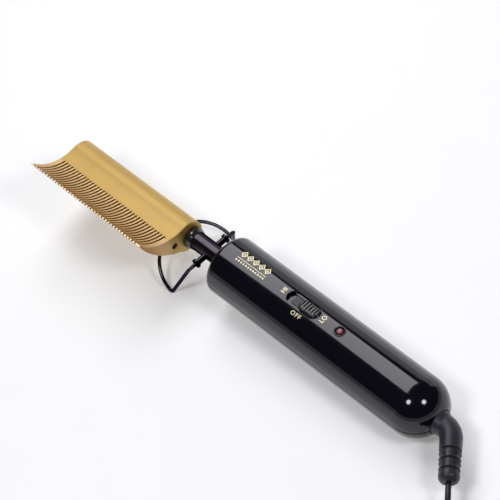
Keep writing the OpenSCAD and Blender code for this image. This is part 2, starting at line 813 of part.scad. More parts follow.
// Tail from the coil's top turn: [angle round the coil, way out, share of the height
// above the plug], then straight on to the plug: [way out, step, share]
tail_turn = [[-60, 0, 1], [-50, 0.3, 1], [-40, 1.1, 0.956], [-30, 2.3, 0.822],
    [-20, 3.4, 0.6], [-10, 4.1, 0.333], [0, 4.4, 0.133]];
tail_run = [[4.5, 4, 0.022], [4.5, 7.5, 0], [4.5, 11, 0]];

exit_pt = to_frame(elbow_end + [cos(elbow_angle), -sin(elbow_angle), 0] * seat);
outer_r = coil_r + coil_half_w - cord_r;
coil_top = coil_rows * cord_d - cord_r;
run_end = cord_steps[len(cord_steps) - 1];
coil_c = [exit_pt[0] + run_end[0] + outer_r * sin(elbow_angle),
    exit_pt[1] + run_end[1] + outer_r * cos(elbow_angle)];
route_a = [for (s = cord_steps) [exit_pt[0] + s[0], exit_pt[1] + s[1],
    cord_r + (exit_pt[2] - cord_r) * s[2]]];
route_b = concat(
    [for (s = tail_turn) [coil_c[0] + (outer_r + s[1]) * cos(s[0]),
        coil_c[1] + (outer_r + s[1]) * sin(s[0]), plug_z + (coil_top - plug_z) * s[2]]],
    [for (s = tail_run) [coil_c[0] + outer_r + s[0], coil_c[1] + s[1],
        plug_z + (coil_top - plug_z) * s[2]]]);
plug_pt = route_b[len(route_b) - 1];

function dir_at(p, i) = unit(p[min(i + 1, len(p) - 1)] - p[max(i - 1, 0)]);
function ring_at(p, i, r, n) = let (t = dir_at(p, i), s = unit(cross([0, 0, 1], t)),
    u = cross(t, s)) [for (k = [0 : n - 1])
        p[i] + r * cos(360 * k / n) * s + r * sin(360 * k / n) * u];

module swept(p, r, n = 8) {
    m = len(p);
    polyhedron(points = [for (i = [0 : m - 1]) each ring_at(p, i, r, n)],
        faces = concat([[for (k = [0 : n - 1]) k]],
            [for (i = [0 : m - 2], k = [0 : n - 1])
                [i * n + k, (i + 1) * n + k, (i + 1) * n + (k + 1) % n, i * n + (k + 1) % n]],
            [[for (k = [n - 1 : -1 : 0]) (m - 1) * n + k]]));
}

module cord() {
    color(black) {
        swept(route_a, cord_r);
        swept(route_b, cord_r);
    }
}

module cord_coil() {
    color(black) translate([coil_c[0], coil_c[1], 0]) rotate_extrude($fn = 96)
        translate([coil_r - coil_half_w, 0]) square([2 * coil_half_w, coil_h]);
}

// Band round the coil's turns
module coil_tie() {
    w = 2 * coil_half_w + 3.2;
    color(black) translate([coil_c[0], coil_c[1], 0]) rotate([0, 0, -20])
        translate([-coil_r - coil_half_w - 1.2, -3, 0]) difference() {
            cube([w, 6, coil_h + 1.2]);
            translate([1.2, -1, -1]) cube([w - 2.4, 8, coil_h + 1]);
        }
}

module plug_body() {
    color(black) translate(plug_pt) rotate([0, 0, -90]) difference() {
        union() {
            translate([-plug_len, 0, 0]) rotate([90, 0, 90]) linear_extrude(height = plug_len - 9)
                union() {
                    translate([-8, -6]) square([16, 12]);
                    translate([-11, -3.5]) square([22, 7]);
                    for (a = [-1, 1], b = [-1, 1]) translate([a * 8, b * 3.5])
                        circle(r = 2.5, $fn = 32);
                }
            translate([-9, 0, 0]) rotate([0, 90, 0]) cylinder(r1 = 5.6, r2 = 3, h = 9, $fn = 48);
        }
        translate([-plug_len - 1, -14, -9]) cube([1, 28, 18]);
    }
}

module plug_blades() {
    color("gold") translate(plug_pt) rotate([0, 0, -90]) for (s = [-1, 1])
        translate([-plug_len, s * blade_gap / 2, 0]) difference() {
            translate([-blade_len, -blade_t / 2, -blade_w / 2]) cube([blade_len, blade_t, blade_w]);
            translate([-blade_len + 3.4, 0, 0]) along_y(-5, 5, blade_hole_r, 48);
        }
}

comb_head();
head_screw();
heat_sensor();
heater_core();
heater_winding();
heater_sleeve();
head_collar();
neck_tube();
thermal_fuse();
heater_leads();
sensor_leads();
neck_flange();
neck_bush();
pivot_tube();
pivot_washers();
stand_wire();
upper_shell();
lower_shell();
shell_screws();
circuit_board();
board_screws();
switch_housing();
switch_terminals();
switch_bridge();
switch_actuator();
switch_button();
lamp_bezel();
lamp_lens();
control_chip();
triac();
capacitor();
resistors();
supply_leads();
brush_holder();
brush_springs();
swivel_bearing();
swivel_clip();
ring_carrier();
slip_rings();
swivel_leads();
cord_elbow();
cord();
cord_coil();
coil_tie();
plug_body();
plug_blades();
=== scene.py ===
# %% [markdown]
# # An electric hot comb
# A hot comb is a heated metal comb on a round handle. The handle holds the
# electronics, a wire stand keeps the hot comb off the table, and the mains lead
# leaves through an elbow that swivels, so that the lead does not twist.
# The solids are already made: the packed model is the fixed frame, and this lesson
# gives it cameras, lights, finishes and the pieces that solids describe badly, such
# as a lead that was wound by hand.

# %% Load the packed solids
import json
import bpy
import bmesh
import numpy as np
from mathutils import Matrix, Vector, geometry


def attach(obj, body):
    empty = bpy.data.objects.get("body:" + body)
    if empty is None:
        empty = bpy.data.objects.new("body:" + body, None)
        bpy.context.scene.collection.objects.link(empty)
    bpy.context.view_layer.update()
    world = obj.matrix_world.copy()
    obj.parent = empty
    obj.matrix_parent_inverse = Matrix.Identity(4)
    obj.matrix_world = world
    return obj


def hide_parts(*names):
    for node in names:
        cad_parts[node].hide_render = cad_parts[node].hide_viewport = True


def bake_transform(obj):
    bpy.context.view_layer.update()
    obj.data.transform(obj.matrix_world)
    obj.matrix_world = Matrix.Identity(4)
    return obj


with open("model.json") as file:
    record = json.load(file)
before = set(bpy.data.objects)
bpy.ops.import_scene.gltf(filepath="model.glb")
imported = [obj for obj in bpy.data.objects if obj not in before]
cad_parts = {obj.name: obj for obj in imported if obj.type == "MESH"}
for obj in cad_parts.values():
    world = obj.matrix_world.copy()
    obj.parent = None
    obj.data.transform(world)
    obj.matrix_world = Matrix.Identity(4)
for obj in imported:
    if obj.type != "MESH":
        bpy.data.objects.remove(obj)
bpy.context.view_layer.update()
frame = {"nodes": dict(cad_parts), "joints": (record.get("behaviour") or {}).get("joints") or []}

MM = 0.001
nodes = frame["nodes"]

# %% [markdown]
# ## The handle's own ruler
# The comb lies on its stand, so the handle is tipped by a few degrees and no axis of
# the world runs along it. Most pieces are easier to describe on the handle itself:
# how far from the front rim, how far round, how far from the axis. The joints know
# where that axis is: the switch slides along it, and the stand's pivot lies on it.

# %% Ruler along the handle
joints = {j["name"]: j for j in frame["joints"]}
towards_comb = np.array(joints["switch_slide"]["axis"], float)
ALONG = -towards_comb / np.linalg.norm(towards_comb)
ACROSS = np.array([0.0, 1.0, 0.0])
ABOVE = np.cross(ALONG, ACROSS)
TURN = np.stack([ALONG, ACROSS, ABOVE], axis=1)
RIM = np.array(joints["stand_fold"]["pos_m"], float) + 12.9 * MM * ALONG


def on_handle(points):
    """Places points given in mm from the middle of the handle's front rim: x along
    the axis, y across, z up. Each is turned by the handle's rest angle and moved."""
    return np.asarray(points, float) * MM @ TURN.T + RIM


print("rest angle of the handle:", round(float(np.degrees(np.arcsin(-ALONG[2]))), 2), "degrees")

# %% [markdown]
# ## Camera
# The camera stands a metre away and looks down across the handle. Its lens is long,
# about 143 mm, which keeps the comb and the round end at nearly the same scale, as in
# a catalogue picture of a slim object. The rows of SIGHT are the picture's right, its
# top and the way back to the camera, in the handle's own axes: the camera is turned
# about its line of sight until the handle runs down across the picture.

# %% Camera
SIGHT = np.array([[0.68012531, 0.71436159, -0.16467264],
                  [-0.50165852, 0.61731447, 0.60602109],
                  [0.53457300, -0.32956085, 0.77821678]])
lens = bpy.data.cameras.new("view_lens")
lens.lens = 143.144
lens.sensor_width = 36.0
lens.clip_start = 0.05
camera = bpy.data.objects.new("view_camera", lens)
bpy.context.scene.collection.objects.link(camera)
eye_point = on_handle([549.566, -323.888, 796.244])
pose = np.eye(4)
pose[:3, :3] = TURN @ SIGHT.T
pose[:3, 3] = eye_point
camera.matrix_world = Matrix(pose.tolist())
bpy.context.scene.camera = camera
print("camera at", np.round(eye_point, 3), "m")

# %% [markdown]
# ## Meshes from grids
# Nearly every made piece here is a skin: a grid of points, one direction along the
# piece and one round it. Once numpy has the points, the faces are always the same
# pattern of neighbours, so a single helper serves them all. Ends are closed with a
# pole, which keeps the skin watertight.


# %% Skin over a grid of points
def add_object(name, mesh, smooth=True):
    """Puts a mesh in the scene as an object at the origin."""
    piece = bpy.data.objects.new(name, mesh)
    bpy.context.scene.collection.objects.link(piece)
    mesh.polygons.foreach_set("use_smooth", [smooth] * len(mesh.polygons))
    return piece


def face_outwards(piece):
    """Turns every face over if the closed mesh encloses a negative volume: the sum of
    (a x b) . c / 6 over its triangles, which is positive when the normals point out."""
    mesh = piece.data
    mesh.calc_loop_triangles()
    co = np.empty(3 * len(mesh.vertices))
    mesh.vertices.foreach_get("co", co)
    tri = np.empty(3 * len(mesh.loop_triangles), np.int32)
    mesh.loop_triangles.foreach_get("vertices", tri)
    a, b, c = np.moveaxis(co.reshape(-1, 3)[tri.reshape(-1, 3)] - co.reshape(-1, 3).mean(axis=0), 1, 0)
    if np.einsum("ij,ij->", np.cross(a, b), c) < 0:
        mesh.flip_normals()
    return piece


def ring_quads(k):
    """Quads between rings of point numbers: corner (i, j) joins (i + 1, j),
    (i + 1, j + 1) and (i, j + 1), and the last column meets the first."""
    k1 = np.roll(k, -1, axis=1)
    return np.stack([k[:-1], k[1:], k1[1:], k1[:-1]], axis=-1)


def skin(name, grid, lengths=None, loop=False):
    """Skin of a grid shaped (stations, points round, 3). In a loop the last station
    meets the first, otherwise a pole at the middle of each end ring closes the skin.
    Where lengths along the piece are given, a UV map holds metres round and along."""
    n, m = grid.shape[:2]
    k = np.arange(n * m).reshape(n, m)
    faces = ring_quads(np.concatenate([k, k[:1]]) if loop else k).reshape(-1, 4).tolist()
    points = grid.reshape(-1, 3)
    if not loop:
        faces += np.stack([np.full(m, n * m), k[0], np.roll(k[0], -1)], axis=-1).tolist()
        faces += np.stack([np.full(m, n * m + 1), np.roll(k[-1], -1), k[-1]], axis=-1).tolist()
        points = np.concatenate([points, grid[[0, -1]].mean(axis=1)])
    mesh = bpy.data.meshes.new(name)
    mesh.from_pydata(points.tolist(), [], faces)
    if lengths is not None:
        about = np.linalg.norm(grid[:, :1] - grid.mean(axis=1, keepdims=True), axis=-1) * 2 * np.pi
        u = np.arange(m + 1) / m * about
        v = np.repeat(np.asarray(lengths)[:, None], m + 1, axis=1)
        uv = np.stack([u, v], axis=-1)
        corner = np.stack([uv[:-1, :-1], uv[1:, :-1], uv[1:, 1:], uv[:-1, 1:]], axis=2).reshape(-1, 2)
        tips = np.zeros((6 * m, 2))
        tips[3 * m:, 1] = lengths[-1]
        layer = mesh.uv_layers.new(name="surface")
        layer.data.foreach_set("uv", np.concatenate([corner, tips]).ravel())
    mesh.validate()
    return face_outwards(add_object(name, mesh))


print("skin ready: its ends are closed with poles")


# %% Rings along a path
def frames_along(path):
    """Directions that carry a ring along a path: forward is the difference of the
    neighbours, sideways is straight up crossed with it, and upwards is forward crossed
    with sideways. It holds while the path never runs straight up."""
    ahead = np.gradient(path, axis=0)
    ahead /= np.linalg.norm(ahead, axis=1, keepdims=True)
    side = np.cross([0.0, 0.0, 1.0], ahead)
    side /= np.linalg.norm(side, axis=1, keepdims=True)
    return side, np.cross(ahead, side)


def tube_grid(path, radius, sides):
    """Rings about a path: centre plus radius times (cos of the angle times sideways
    plus sin times upwards)."""
    side, lift = frames_along(path)
    a = np.linspace(0, 2 * np.pi, sides, endpoint=False)
    return path[:, None] + radius * (np.cos(a)[None, :, None] * side[:, None]
                                     + np.sin(a)[None, :, None] * lift[:, None])


def arc_lengths(path):
    """Distance along a path at each of its points."""
    return np.concatenate([[0.0], np.cumsum(np.linalg.norm(np.diff(path, axis=0), axis=1))])


print("a ring of 5 mm has", tube_grid(np.array([[0, 0, 0], [1.0, 0, 0]]), 2.5, 8).shape[1], "points")


# %% Smooth curves and steps
def smoothed(points, step):
    """Smooth curve through points: a Catmull-Rom cubic between each two, from half the
    difference of the neighbours, then evened out to equal steps along its length."""
    p = np.asarray(points, float)
    p = np.concatenate([2 * p[:1] - p[1:2], p, 2 * p[-1:] - p[-2:-1]])
    t = np.linspace(0, 1, 12, endpoint=False)[None, :, None]
    a, b, c, d = p[:-3, None], p[1:-2, None], p[2:-1, None], p[3:, None]
    curve = 0.5 * (2 * b + (c - a) * t + (2 * a - 5 * b + 4 * c - d) * t ** 2
                   + (3 * b - a - 3 * c + d) * t ** 3)
    curve = np.concatenate([curve.reshape(-1, 3), p[-2:-1]])
    s = arc_lengths(curve)
    even = np.linspace(0, s[-1], max(2, int(np.ceil(s[-1] / step)) + 1))
    return np.stack([np.interp(even, s, curve[:, i]) for i in range(3)], axis=1)


def soft_step(t):
    """Smooth step: 0 below 0, 1 above 1, and t^2 (3 - 2 t) between."""
    t = np.clip(t, 0, 1)
    return t * t * (3 - 2 * t)


def squarish(angle, power):
    """Cosine and sine raised to a power with their signs kept. Times two half widths
    they draw a superellipse, which lies between an oval (power 1) and a rectangle."""
    return [np.sign(wave) * np.abs(wave) ** power for wave in (np.cos(angle), np.sin(angle))]


print("a soft step passes", soft_step(0.25), "at a quarter and", soft_step(0.5), "at the middle")

# %% [markdown]
# ## The mains lead
# A hot comb has about six feet of thin round lead. It leaves the elbow straight for
# a few diameters, sinks to the table under its own weight and runs on in a loose
# curve. The rest is wound up for storage, four turns wide and four high. A coil
# could be one solid ring, but then the turns would be painted on. Here the lead is
# one tube: each layer is a flat spiral whose radius changes by one diameter a
# turn, and between layers one turn climbs by a diameter. Only the free stretch is
# drawn as a list of points between the elbow's mouth and the table.

# %% Route of the lead
lead_exit = np.array([144.703, -18.3763, 14.6684])
lead_r = 1.5
# the free stretch: [mm along x, mm along y, share of the height above the table]
steps_out = np.array([
    [0, 0, 1], [1.9, -2.3, 0.997], [3.9, -4.6, 0.99], [5.8, -6.9, 0.944],
    [7.7, -9.2, 0.849], [9.6, -11.5, 0.719], [11.6, -13.8, 0.566], [13.5, -16.1, 0.407],
    [15.4, -18.4, 0.258], [17.3, -20.7, 0.133], [19.3, -23, 0.045], [21.2, -25.3, 0.003],
    [23.1, -27.6, 0]])
outer_turn, inner_turn, coil_turns, coil_from = 22.5, 13.5, 15.2222, 220.0
elbow_angle = np.radians(50.0)
coil_middle = lead_exit[:2] + steps_out[-1, :2] + outer_turn * np.array([np.sin(elbow_angle),
                                                                        np.cos(elbow_angle)])
# the end comes off the top turn and sinks to the plug: [degrees, mm outwards, share of
# the height], then straight on beside the coil: [mm outwards, mm along, share]
tail_turn = np.array([[-60, 0, 1], [-50, 0.3, 1], [-40, 1.1, 0.956], [-30, 2.3, 0.822],
                      [-20, 3.4, 0.6], [-10, 4.1, 0.333], [0, 4.4, 0.133]])
tail_run = np.array([[4.5, 4, 0.022], [4.5, 7.5, 0], [4.5, 11, 0]])
plug_z, top_z = 6.0, 10.5

run_out = np.column_stack([lead_exit[:2] + steps_out[:, :2],
                           lead_r + (lead_exit[2] - lead_r) * steps_out[:, 2]])
tail_a = np.radians(tail_turn[:, 0])
tail_r = outer_turn + tail_turn[:, 1]
run_plug = np.concatenate([
    np.column_stack([coil_middle[0] + tail_r * np.cos(tail_a), coil_middle[1] + tail_r * np.sin(tail_a),
                     plug_z + (top_z - plug_z) * tail_turn[:, 2]]),
    np.column_stack([coil_middle[0] + outer_turn + tail_run[:, 0], coil_middle[1] + tail_run[:, 1],
                     plug_z + (top_z - plug_z) * tail_run[:, 2]])])
print("coil about", coil_middle.round(1), "mm, free stretch of", len(run_out), "points")


# %% Coil and the whole lead
def coil_path(per_turn=48):
    """Centre line of the coil. Radius and height are read from a list of turns: in,
    climb, out, climb, in, climb, out. The angle grows evenly from where the free stretch
    meets the coil, so the lead runs anticlockwise seen from above, and a point is the
    middle plus the radius times (cos, sin) of the angle, at the height from the list."""
    u = np.linspace(0, coil_turns, int(coil_turns * per_turn) + 1)
    knots = np.array([0, 3, 4, 7, 8, 11, 12, coil_turns])
    inwards = [outer_turn, inner_turn, inner_turn, outer_turn]
    layer = np.array([0, 0, 1, 1, 2, 2, 3, 3])
    r = np.interp(u, knots, inwards * 2)
    z = np.interp(u, knots, lead_r + 2 * lead_r * layer)
    a = np.radians(coil_from + 360 * u)
    return np.column_stack([coil_middle[0] + r * np.cos(a), coil_middle[1] + r * np.sin(a), z])


lead_path = np.concatenate([smoothed(run_out, 1.2)[:-1], coil_path()[1:-1],
                            smoothed(run_plug, 1.2)[1:]]) * MM
lead = skin("mains_lead", tube_grid(lead_path, lead_r * MM, 10), lengths=arc_lengths(lead_path))

# %% [markdown]
# ## Shader maths as plain expressions
# A material is a small program drawn as nodes. Written as `base * 0.8 + grain`, it
# is far easier to follow, so a socket is wrapped in a class whose operators add the
# Math nodes. Numbers that are the same all over the surface are set on the
# shader directly; only what really changes over the surface becomes a node.


# %% Flow: a socket that understands + - *
class Flow:
    """An output socket on its way through a material's tree."""

    def __init__(self, tree, socket=None):
        self.tree, self.socket = tree, socket

    def add(self, kind, settings=None, stops=None, out=0, **inputs):
        """Adds one node: settings first, then a ramp's stops, then its sockets by name
        (spaces written as _) or by number (i0, i1). Returns the chosen output."""
        node = self.tree.nodes.new(kind)
        for key, value in (settings or {}).items():
            setattr(node, key, value)
        for i, (place, colour) in enumerate(stops or []):
            ramp = node.color_ramp.elements
            stop = ramp[i] if i < len(ramp) else ramp.new(place)
            stop.position, stop.color = place, (*colour, 1.0)
        for key, value in inputs.items():
            number = key[0] == "i" and key[1:].isdigit()
            self.put(node.inputs[int(key[1:]) if number else key.replace("_", " ")], value)
        return Flow(self.tree, node.outputs[out])

    def put(self, socket, value):
        """Links a flow to a socket, or sets the socket's number or colour."""
        if isinstance(value, Flow):
            self.tree.links.new(value.socket, socket)
        else:
            socket.default_value = value

    def maths(self, operation, a, b=0.0):
        return self.add("ShaderNodeMath", {"operation": operation}, i0=a, i1=b)

    def __add__(self, other):
        return self.maths("ADD", self, other)

    def __sub__(self, other):
        return self.maths("SUBTRACT", self, other)

    def __rsub__(self, other):
        return self.maths("SUBTRACT", other, self)

    def __mul__(self, other):
        return self.maths("MULTIPLY", self, other)

    __radd__, __rmul__ = __add__, __mul__

    def clamped(self):
        return self.maths("MINIMUM", self.maths("MAXIMUM", self, 0.0), 1.0)

    def mix(self, first, second):
        """Colour that goes from first to second as this flow goes from 0 to 1."""
        full = [v if isinstance(v, Flow) else (*v, 1.0) for v in (first, second)]
        return self.add("ShaderNodeMix", {"data_type": "RGBA"}, out=2,
                        i0=self, i6=full[0], i7=full[1])


print("a flow can", [name for name in vars(Flow) if name[0] != "_"])


# %% Screen colours
def srgb(r, g, b):
    """Linear colour of an 8-bit screen colour: the usual curve, (c + 0.055) / 1.055
    to the power 2.4, and a straight line near black."""
    c = np.array([r, g, b]) / 255.0
    return tuple(np.where(c <= 0.04045, c / 12.92, ((c + 0.055) / 1.055) ** 2.4).tolist())


print("a mid grey is", np.round(srgb(128, 128, 128), 3))


# %% Finishes are started the same way
def start_finish(name, **sockets):
    """New material with one Principled shader; sockets that are the same all over are
    set by name. Returns the material, a flow to build on and the shader."""
    paint = bpy.data.materials.new(name)
    paint.use_nodes = True
    tree = paint.node_tree
    shader = tree.nodes["Principled BSDF"]
    flow = Flow(tree)
    for key, value in sockets.items():
        full = (*value, 1.0) if isinstance(value, tuple) and len(value) == 3 else value
        flow.put(shader.inputs[key.replace("_", " ")], full)
    return paint, flow, shader


def place_of(flow, stretch=(1, 1, 1), spot=(0, 0, 0), turn=(0, 0, 0), by="Object"):
    """Object or UV coordinates, in metres, moved, turned and stretched by a Mapping."""
    out = {"Object": 3, "UV": 2}[by]
    where = flow.add("ShaderNodeTexCoord", out=out)
    return flow.add("ShaderNodeMapping", {"vector_type": "POINT"},
                    Vector=where, Location=spot, Rotation=turn, Scale=stretch)


def noise(flow, where, scale, detail=3.0, rough=0.55):
    """Soft noise between 0 and 1; scale is in cycles per metre."""
    return flow.add("ShaderNodeTexNoise", Vector=where, Scale=scale, Detail=detail,
                    Roughness=rough)


def surface(flow, shader, colour, rough, height=None, depth=0.0, strength=0.0):
    """Feeds the shader what changes over the surface: the colour, the roughness and,
    where it has relief, a height between 0 and 1 as a bump that is depth metres deep."""
    flow.put(shader.inputs["Base Color"], colour)
    flow.put(shader.inputs["Roughness"], rough)
    if height is not None:
        bump = flow.add("ShaderNodeBump", Height=height, Distance=depth, Strength=strength)
        flow.put(shader.inputs["Normal"], bump)


finishes = {}
print("finish helpers ready")

# %% [markdown]
# ## Gold finish of the comb
# The comb is cast aluminium or brass with a satin gold plating. It is metal, so the
# gold is in the base colour and the highlights take it on. It was brushed along the
# spine before plating: fine streaks that are long along the comb and short across.
# Near the teeth's ends the plating is painted a darker brown: a painted reflection of
# the comb's own back, which the satin gold mirrors there. The sawn walls and floors of
# the slots are painted a dark bronze as painted shade, and the tips' end faces are
# painted near white as a painted highlight.

# %% Gold plating
paint, flow, shader = start_finish("gold_plating", Metallic=1.0, Coat_Weight=0.3, Coat_Roughness=0.3,
                                   Coat_IOR=1.45)
where = place_of(flow)
sawn_face = flow.add("ShaderNodeAttribute", {"attribute_name": "sawn"}, out=2)
tip_highlight_mask = flow.add("ShaderNodeAttribute", {"attribute_name": "tip"}, out=2)
from_root_mm = flow.add("ShaderNodeAttribute", {"attribute_name": "reach"}, out=2)
streaks = noise(flow, place_of(flow, (60, 3000, 3000)), 1.0, 3.0)
cloud = noise(flow, where, 60.0, 4.0)
fine = noise(flow, where, 2600.0, 2.0)
plating = cloud.mix(srgb(182, 152, 84), srgb(200, 168, 101))
on_teeth = flow.add("ShaderNodeMapRange", Value=from_root_mm, From_Min=0.0, From_Max=1.5)
rubbed = on_teeth.mix(plating, srgb(214, 182, 128))
# painted reflection: towards the teeth's ends the gold turns a darker brown, for the comb's own back mirrored
# there
tip_reflection_ramp = flow.add("ShaderNodeMapRange", Value=from_root_mm + cloud * 6.0, From_Min=10.0, From_Max=26.0)
tip_reflection = tip_reflection_ramp.mix(rubbed, srgb(176, 128, 72))
# painted shade: the sawn slot walls and floors are a darker bronze
sawn = sawn_face.mix(tip_reflection, srgb(172, 112, 44))
# painted highlight: the tips' end faces are near white
surface(flow, shader, tip_highlight_mask.mix(sawn, srgb(250, 230, 186)),
        0.5 + streaks * 0.14 + cloud * 0.06 - tip_highlight_mask * 0.2, streaks * 0.7 + fine * 0.3, 0.00002, 0.5)
finishes["gold_metal"] = paint
print("made", paint.name)

# %% [markdown]
# ## Blacks
# The object is nearly all black, and only the finish tells its pieces apart. The
# shells are polished plastic: a smooth, almost mirror-like surface whose slow waves
# come from shrinkage in the mould. The wire and the neck are blackened steel, which
# is a dark metal and not a paint, so even its edges mirror little of the pale table.
# The collar is heat-proof resin with a coarse filler, and the lead and the elbow are
# rubber-like plastic with a fine grain and a broad, soft shine.

# %% Polished shell plastic
paint, flow, shader = start_finish("polished_black", IOR=1.5, Specular_Tint=(0.95, 0.92, 1.0))
where = place_of(flow)
waves = noise(flow, where, 55.0, 2.0)
smudge = noise(flow, where, 160.0, 4.0, 0.6)
scuffs = noise(flow, place_of(flow, (300, 4200, 4200), turn=(0.3, 0.2, 0.4)), 1.0, 2.0)
surface(flow, shader, smudge.mix(srgb(6, 5, 13), srgb(11, 9, 19)),
        0.06 + smudge * 0.05 + scuffs * 0.03, waves, 0.00006, 0.25)
finishes["handle_plastic"] = paint
print("made", paint.name)


# %% Blackened steel
def blackened_steel(name, edge, gloss, dull):
    """Black nickel on steel: a metal with a dark colour. edge is how bright it is when
    seen edge-on, gloss its roughness and dull how much rougher it is where it is worn."""
    paint, flow, shader = start_finish(name, Metallic=1.0, Specular_Tint=(edge, edge, 1.1 * edge))
    peel = noise(flow, place_of(flow), 1500.0, 2.0)
    wear = noise(flow, place_of(flow), 260.0, 5.0, 0.65)
    worn = flow.add("ShaderNodeMapRange", Value=wear, From_Min=0.66, From_Max=0.74)
    surface(flow, shader, worn.mix(srgb(60, 57, 64), srgb(96, 92, 94)),
            gloss + wear * dull, peel, 0.00002, 0.3)
    return paint


finishes["black_metal"] = blackened_steel("black_nickel", 0.15, 0.06, 0.1)
neck_paint = blackened_steel("baked_enamel", 0.2, 0.17, 0.12)
print("made", finishes["black_metal"].name, "and", neck_paint.name)

# %% Heat-proof resin
paint, flow, shader = start_finish("heat_proof_resin", IOR=1.6)
filler = noise(flow, place_of(flow), 1900.0, 4.0, 0.7)
surface(flow, shader, filler.mix(srgb(14, 11, 15), srgb(30, 26, 28)),
        0.1 + filler * 0.16, filler, 0.00003, 0.5)
finishes["collar_plastic"] = paint
print("made", paint.name)


# %% Grained plastics
def grained_black(name, dark, light, rough, by="Object"):
    """Soft black plastic: a fine grain in colour and relief, and dust in the gloss."""
    paint, flow, shader = start_finish(name, IOR=1.48, Specular_Tint=(0.95, 0.92, 1.0))
    where = place_of(flow, by=by)
    grain = noise(flow, where, 2200.0, 3.0)
    dust = noise(flow, where, 240.0, 4.0, 0.6)
    surface(flow, shader, (grain * 0.5 + dust * 0.5).mix(dark, light),
            rough + dust * 0.14, grain, 0.00004, 0.5)
    return paint


finishes["cord_rubber"] = grained_black("lead_vinyl", srgb(29, 27, 37), srgb(46, 44, 54), 0.36)
finishes["plug_plastic"] = grained_black("plug_vinyl", srgb(20, 20, 24), srgb(36, 35, 39), 0.42)
finishes["bezel_plastic"] = grained_black("bezel_plastic", srgb(14, 11, 17), srgb(26, 22, 28), 0.1)
finishes["chip_plastic"] = grained_black("chip_epoxy", srgb(30, 30, 32), srgb(48, 47, 48), 0.5)
print("made", len(finishes), "finishes so far")

# %% [markdown]
# ## Finishes of the small and inner pieces
# Whatever is inside the handle is seen only when the shells are taken off, but then
# it should read as what it is: bright steel with turning marks, fired ceramic with
# dark specks, a green board with its copper tracks showing through the lacquer.


# %% Bare metals
def bare_metal(name, dull, bright, rough):
    """Bare metal with marks across the turning direction and soft tarnish."""
    paint, flow, shader = start_finish(name, Metallic=1.0)
    where = place_of(flow)
    marks = noise(flow, place_of(flow, (5200, 240, 240)), 1.0, 2.0)
    tarnish = noise(flow, where, 320.0, 4.0, 0.6)
    surface(flow, shader, tarnish.mix(dull, bright),
            rough + marks * 0.14 + tarnish * 0.08, marks, 0.00001, 0.5)
    return paint


finishes["steel"] = bare_metal("turned_steel", srgb(168, 168, 172), srgb(206, 206, 208), 0.2)
finishes["copper"] = bare_metal("contact_copper", srgb(176, 110, 66), srgb(214, 146, 96), 0.22)
finishes["blade_brass"] = bare_metal("plated_blade", srgb(190, 184, 168), srgb(222, 216, 200), 0.18)
print("bare metals:", [finishes[key].name for key in ("steel", "copper", "blade_brass")])


# %% Pale insulators
def pale_solid(name, base, speck, rough, density, amount):
    """Pale moulded or fired material: base colour with rare specks and a fine relief."""
    paint, flow, shader = start_finish(name, IOR=1.5)
    where = place_of(flow)
    cells = flow.add("ShaderNodeTexVoronoi", Vector=where, Scale=density)
    specks = flow.add("ShaderNodeMapRange", Value=cells, From_Min=0.22, From_Max=0.1,
                      To_Min=0.0, To_Max=amount)
    cloud = noise(flow, where, 300.0, 4.0)
    surface(flow, shader, (specks + cloud * 0.15).clamped().mix(base, speck),
            rough + cloud * 0.15, cloud, 0.00004, 0.4)
    return paint


finishes["ceramic"] = pale_solid("fired_ceramic", srgb(226, 220, 206), srgb(120, 104, 86), 0.5, 900, 0.7)
finishes["inner_plastic"] = pale_solid("nylon", srgb(224, 219, 206), srgb(196, 188, 170), 0.38, 1500, 0.3)
finishes["film_box"] = pale_solid("capacitor_case", srgb(206, 156, 40), srgb(150, 104, 24), 0.3, 1100, 0.4)
finishes["wire_insulation"] = pale_solid("lead_sleeving", srgb(196, 190, 178), srgb(150, 140, 124), 0.4,
                                         2400, 0.5)
print("insulators:", [finishes[key].name for key in ("ceramic", "inner_plastic", "film_box")])

# %% Circuit board: lacquer over copper tracks
paint, flow, shader = start_finish("board_lacquer", IOR=1.5)
where = place_of(flow)
weave = flow.add("ShaderNodeTexWave", {"wave_type": "BANDS", "bands_direction": "DIAGONAL"},
                 Vector=where, Scale=900.0)
tracks = flow.add("ShaderNodeTexBrick", {"offset": 0.5}, Vector=place_of(flow, (1, 1, 0)), out=1,
                  Scale=90.0, Mortar_Size=0.09, Mortar_Smooth=0.1, Bias=0.0)
cloud = noise(flow, where, 200.0, 3.0)
green = (weave * 0.3 + cloud * 0.5).mix(srgb(10, 62, 34), srgb(20, 84, 48))
surface(flow, shader, tracks.mix(green, srgb(66, 128, 62)),
        0.26 + weave * 0.12, tracks * 0.7 + weave * 0.2, 0.00004, 0.5)
finishes["board"] = paint
print("made", paint.name)

# %% Resistor bodies: beige lacquer with colour rings
paint, flow, shader = start_finish("resistor_lacquer", IOR=1.5)
y = flow.add("ShaderNodeSeparateXYZ", Vector=place_of(flow), out=1)
span = flow.add("ShaderNodeMapRange", Value=y, From_Min=0.0004, From_Max=0.0068)
rings = flow.add("ShaderNodeValToRGB", {}, [
    (0.00, srgb(196, 164, 120)), (0.12, srgb(110, 58, 30)), (0.20, srgb(196, 164, 120)),
    (0.30, srgb(28, 26, 26)), (0.38, srgb(196, 164, 120)), (0.48, srgb(190, 40, 34)),
    (0.56, srgb(196, 164, 120)), (0.84, srgb(196, 150, 60)), (0.92, srgb(196, 164, 120))], Fac=span)
rings.socket.node.color_ramp.interpolation = "CONSTANT"
surface(flow, shader, rings, 0.3 + noise(flow, place_of(flow), 900.0) * 0.2)
finishes["resistor_body"] = paint
print("made", paint.name)

